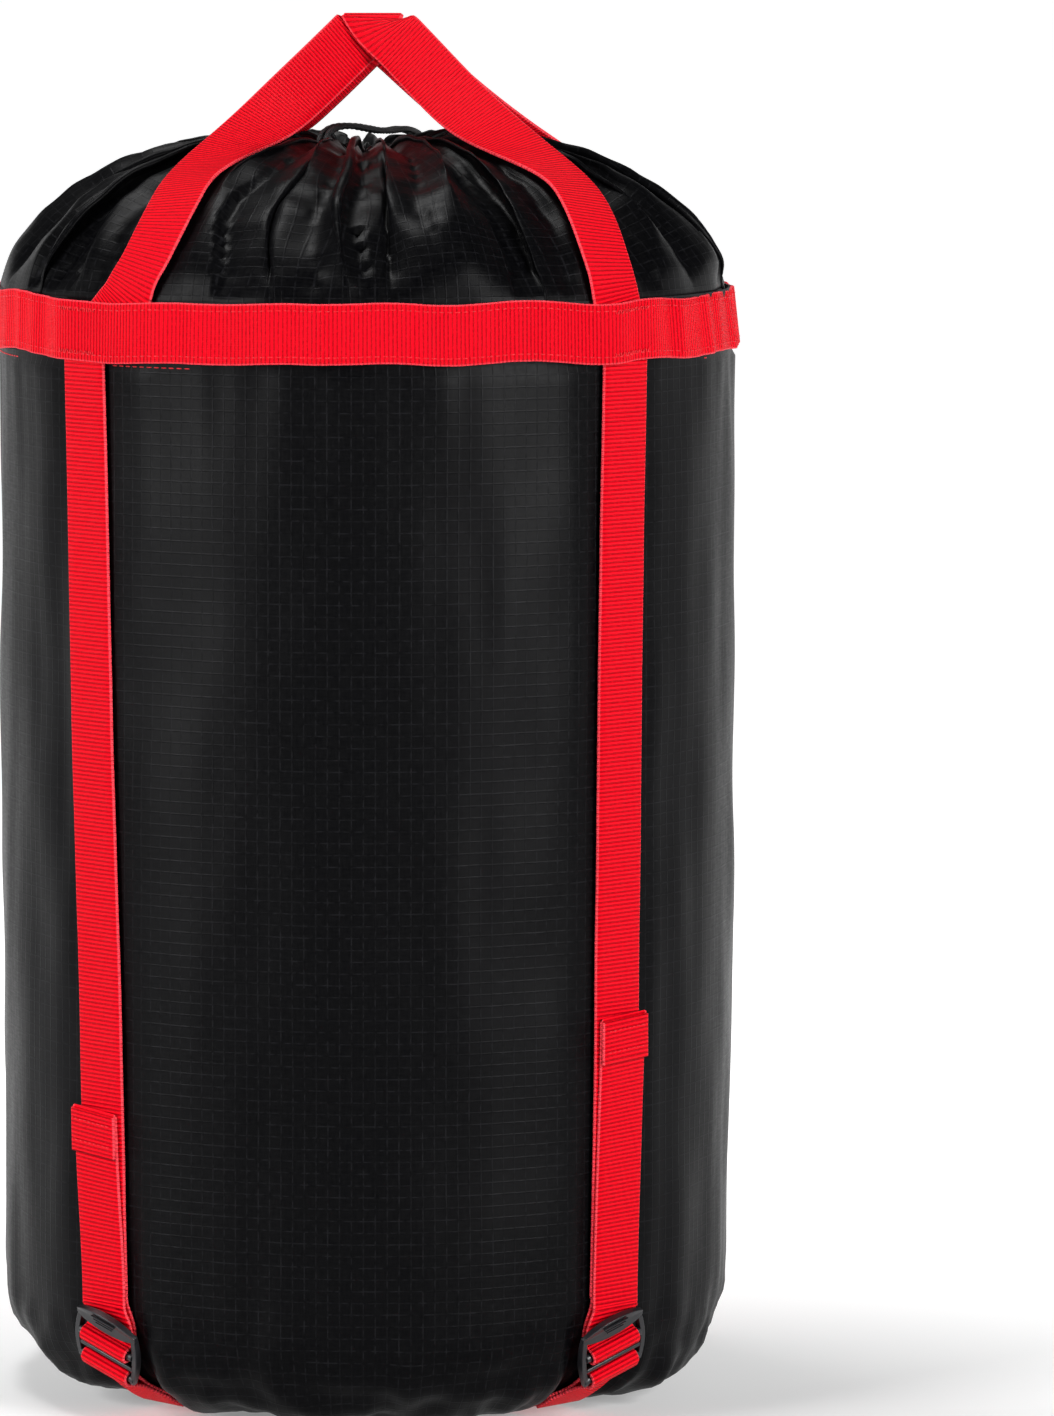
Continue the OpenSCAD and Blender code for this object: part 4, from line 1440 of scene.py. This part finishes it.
def make_cord_lock():
    """The barrel, plunger and spring keep their CAD shape; grip rings and a dished cap go on."""
    finish_cad_node("cord_lock_barrel", PLASTIC)
    finish_cad_node("cord_lock_plunger", PLASTIC)
    finish_cad_node("cord_lock_spring", STEEL)
    place = Matrix.Translation(CORD_LOCK_AT) @ Matrix.Rotation(-CORD_LOCK_SLOPE, 4, "X")
    rings = []
    for x in (-8.5, -6.8, 6.6, 8.0):
        fresh_start()
        bpy.ops.mesh.primitive_torus_add(
            major_radius=5.5 * MM, minor_radius=0.4 * MM, major_segments=40, minor_segments=8,
            location=(x * MM, 0, 0), rotation=(0, math.pi / 2, 0))
        rings.append(take_new("cord_lock_grip_rings"))
    grip = join_pieces(rings)
    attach(grip, "cord_lock")
    fresh_start()
    bpy.ops.mesh.primitive_cylinder_add(
        vertices=36, radius=3.9 * MM, depth=1.6 * MM, location=(13.4 * MM, 0, 0),
        rotation=(0, math.pi / 2, 0))
    cap = take_new("cord_lock_button_cap")
    select_where(cap, lambda co: co.x > 14.0 * MM)
    bpy.ops.mesh.inset(thickness=0.9 * MM, depth=0.0)
    bpy.ops.transform.translate(value=(-0.45 * MM, 0, 0))
    bpy.ops.object.mode_set(mode="OBJECT")
    bevel_piece(cap, 0.35)
    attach(cap, "plunger")
    for piece in (grip, cap):
        piece.data.transform(place)
        piece.data.materials.append(PLASTIC)
        shade_by_angle(piece)


# ---- studio ----

def area_light(name, place, aim, width, height, power):
    data = bpy.data.lights.new(name, "AREA")
    data.shape = "RECTANGLE"
    data.size = width
    data.size_y = height
    data.energy = power
    lamp = add_object(name, data)
    lamp.location = place
    lamp.rotation_euler = (Vector(place) - Vector(aim)).to_track_quat("Z", "Y").to_euler()


def make_studio():
    fresh_start()
    bpy.ops.mesh.primitive_plane_add(size=400, location=(0, 0, 0))
    floor = bpy.context.active_object
    floor.name = "studio_floor"
    floor.data.materials.append(pale_floor())
    world = bpy.data.worlds.new("studio")
    world.use_nodes = True
    tree = world.node_tree
    background = tree.nodes["Background"]
    background.inputs["Color"].default_value = linear("#ffffff")
    # a white sweep low down, and a dim room above it
    split = add_node(tree, "SeparateXYZ", links={0: add_node(tree, "TexCoord").outputs["Generated"]})
    level = add_node(tree, "MapRange", {"interpolation_type": "SMOOTHSTEP"},
                     {"From Min": 0.12, "From Max": 0.3, "To Min": 1.0, "To Max": 0.1},
                     {"Value": split.outputs[2]})
    tree.links.new(level.outputs[0], background.inputs["Strength"])
    bpy.context.scene.world = world
    aim = (0, 0, 0.3)
    area_light("left_strip", (-2.13, -1.49, 1.0), aim, 0.95, 1.5, 78)
    area_light("right_strip", (1.93, -1.74, 1.0), aim, 0.95, 1.5, 84)
    area_light("overhead", (-0.4, 0.35, 2.3), aim, 0.7, 0.7, 22)
    bpy.context.scene.view_settings.view_transform = "Standard"


# ---- build ----

make_camera()
make_cords()
make_body()
make_base()
make_gathered_top()
make_mouth_hem()
make_ring()
make_cross_straps()
for corner_name in STRAPS:
    make_strap_run(corner_name)
    make_strap_tail(corner_name)
    make_strap_wrap(corner_name)
    make_anchor(corner_name)
make_locks()
make_carry_loops()
make_cord_lock()
finish_cad_node("base_seam_binding", TAPE)
finish_cad_node("shoulder_seam_binding", TAPE)
make_studio()
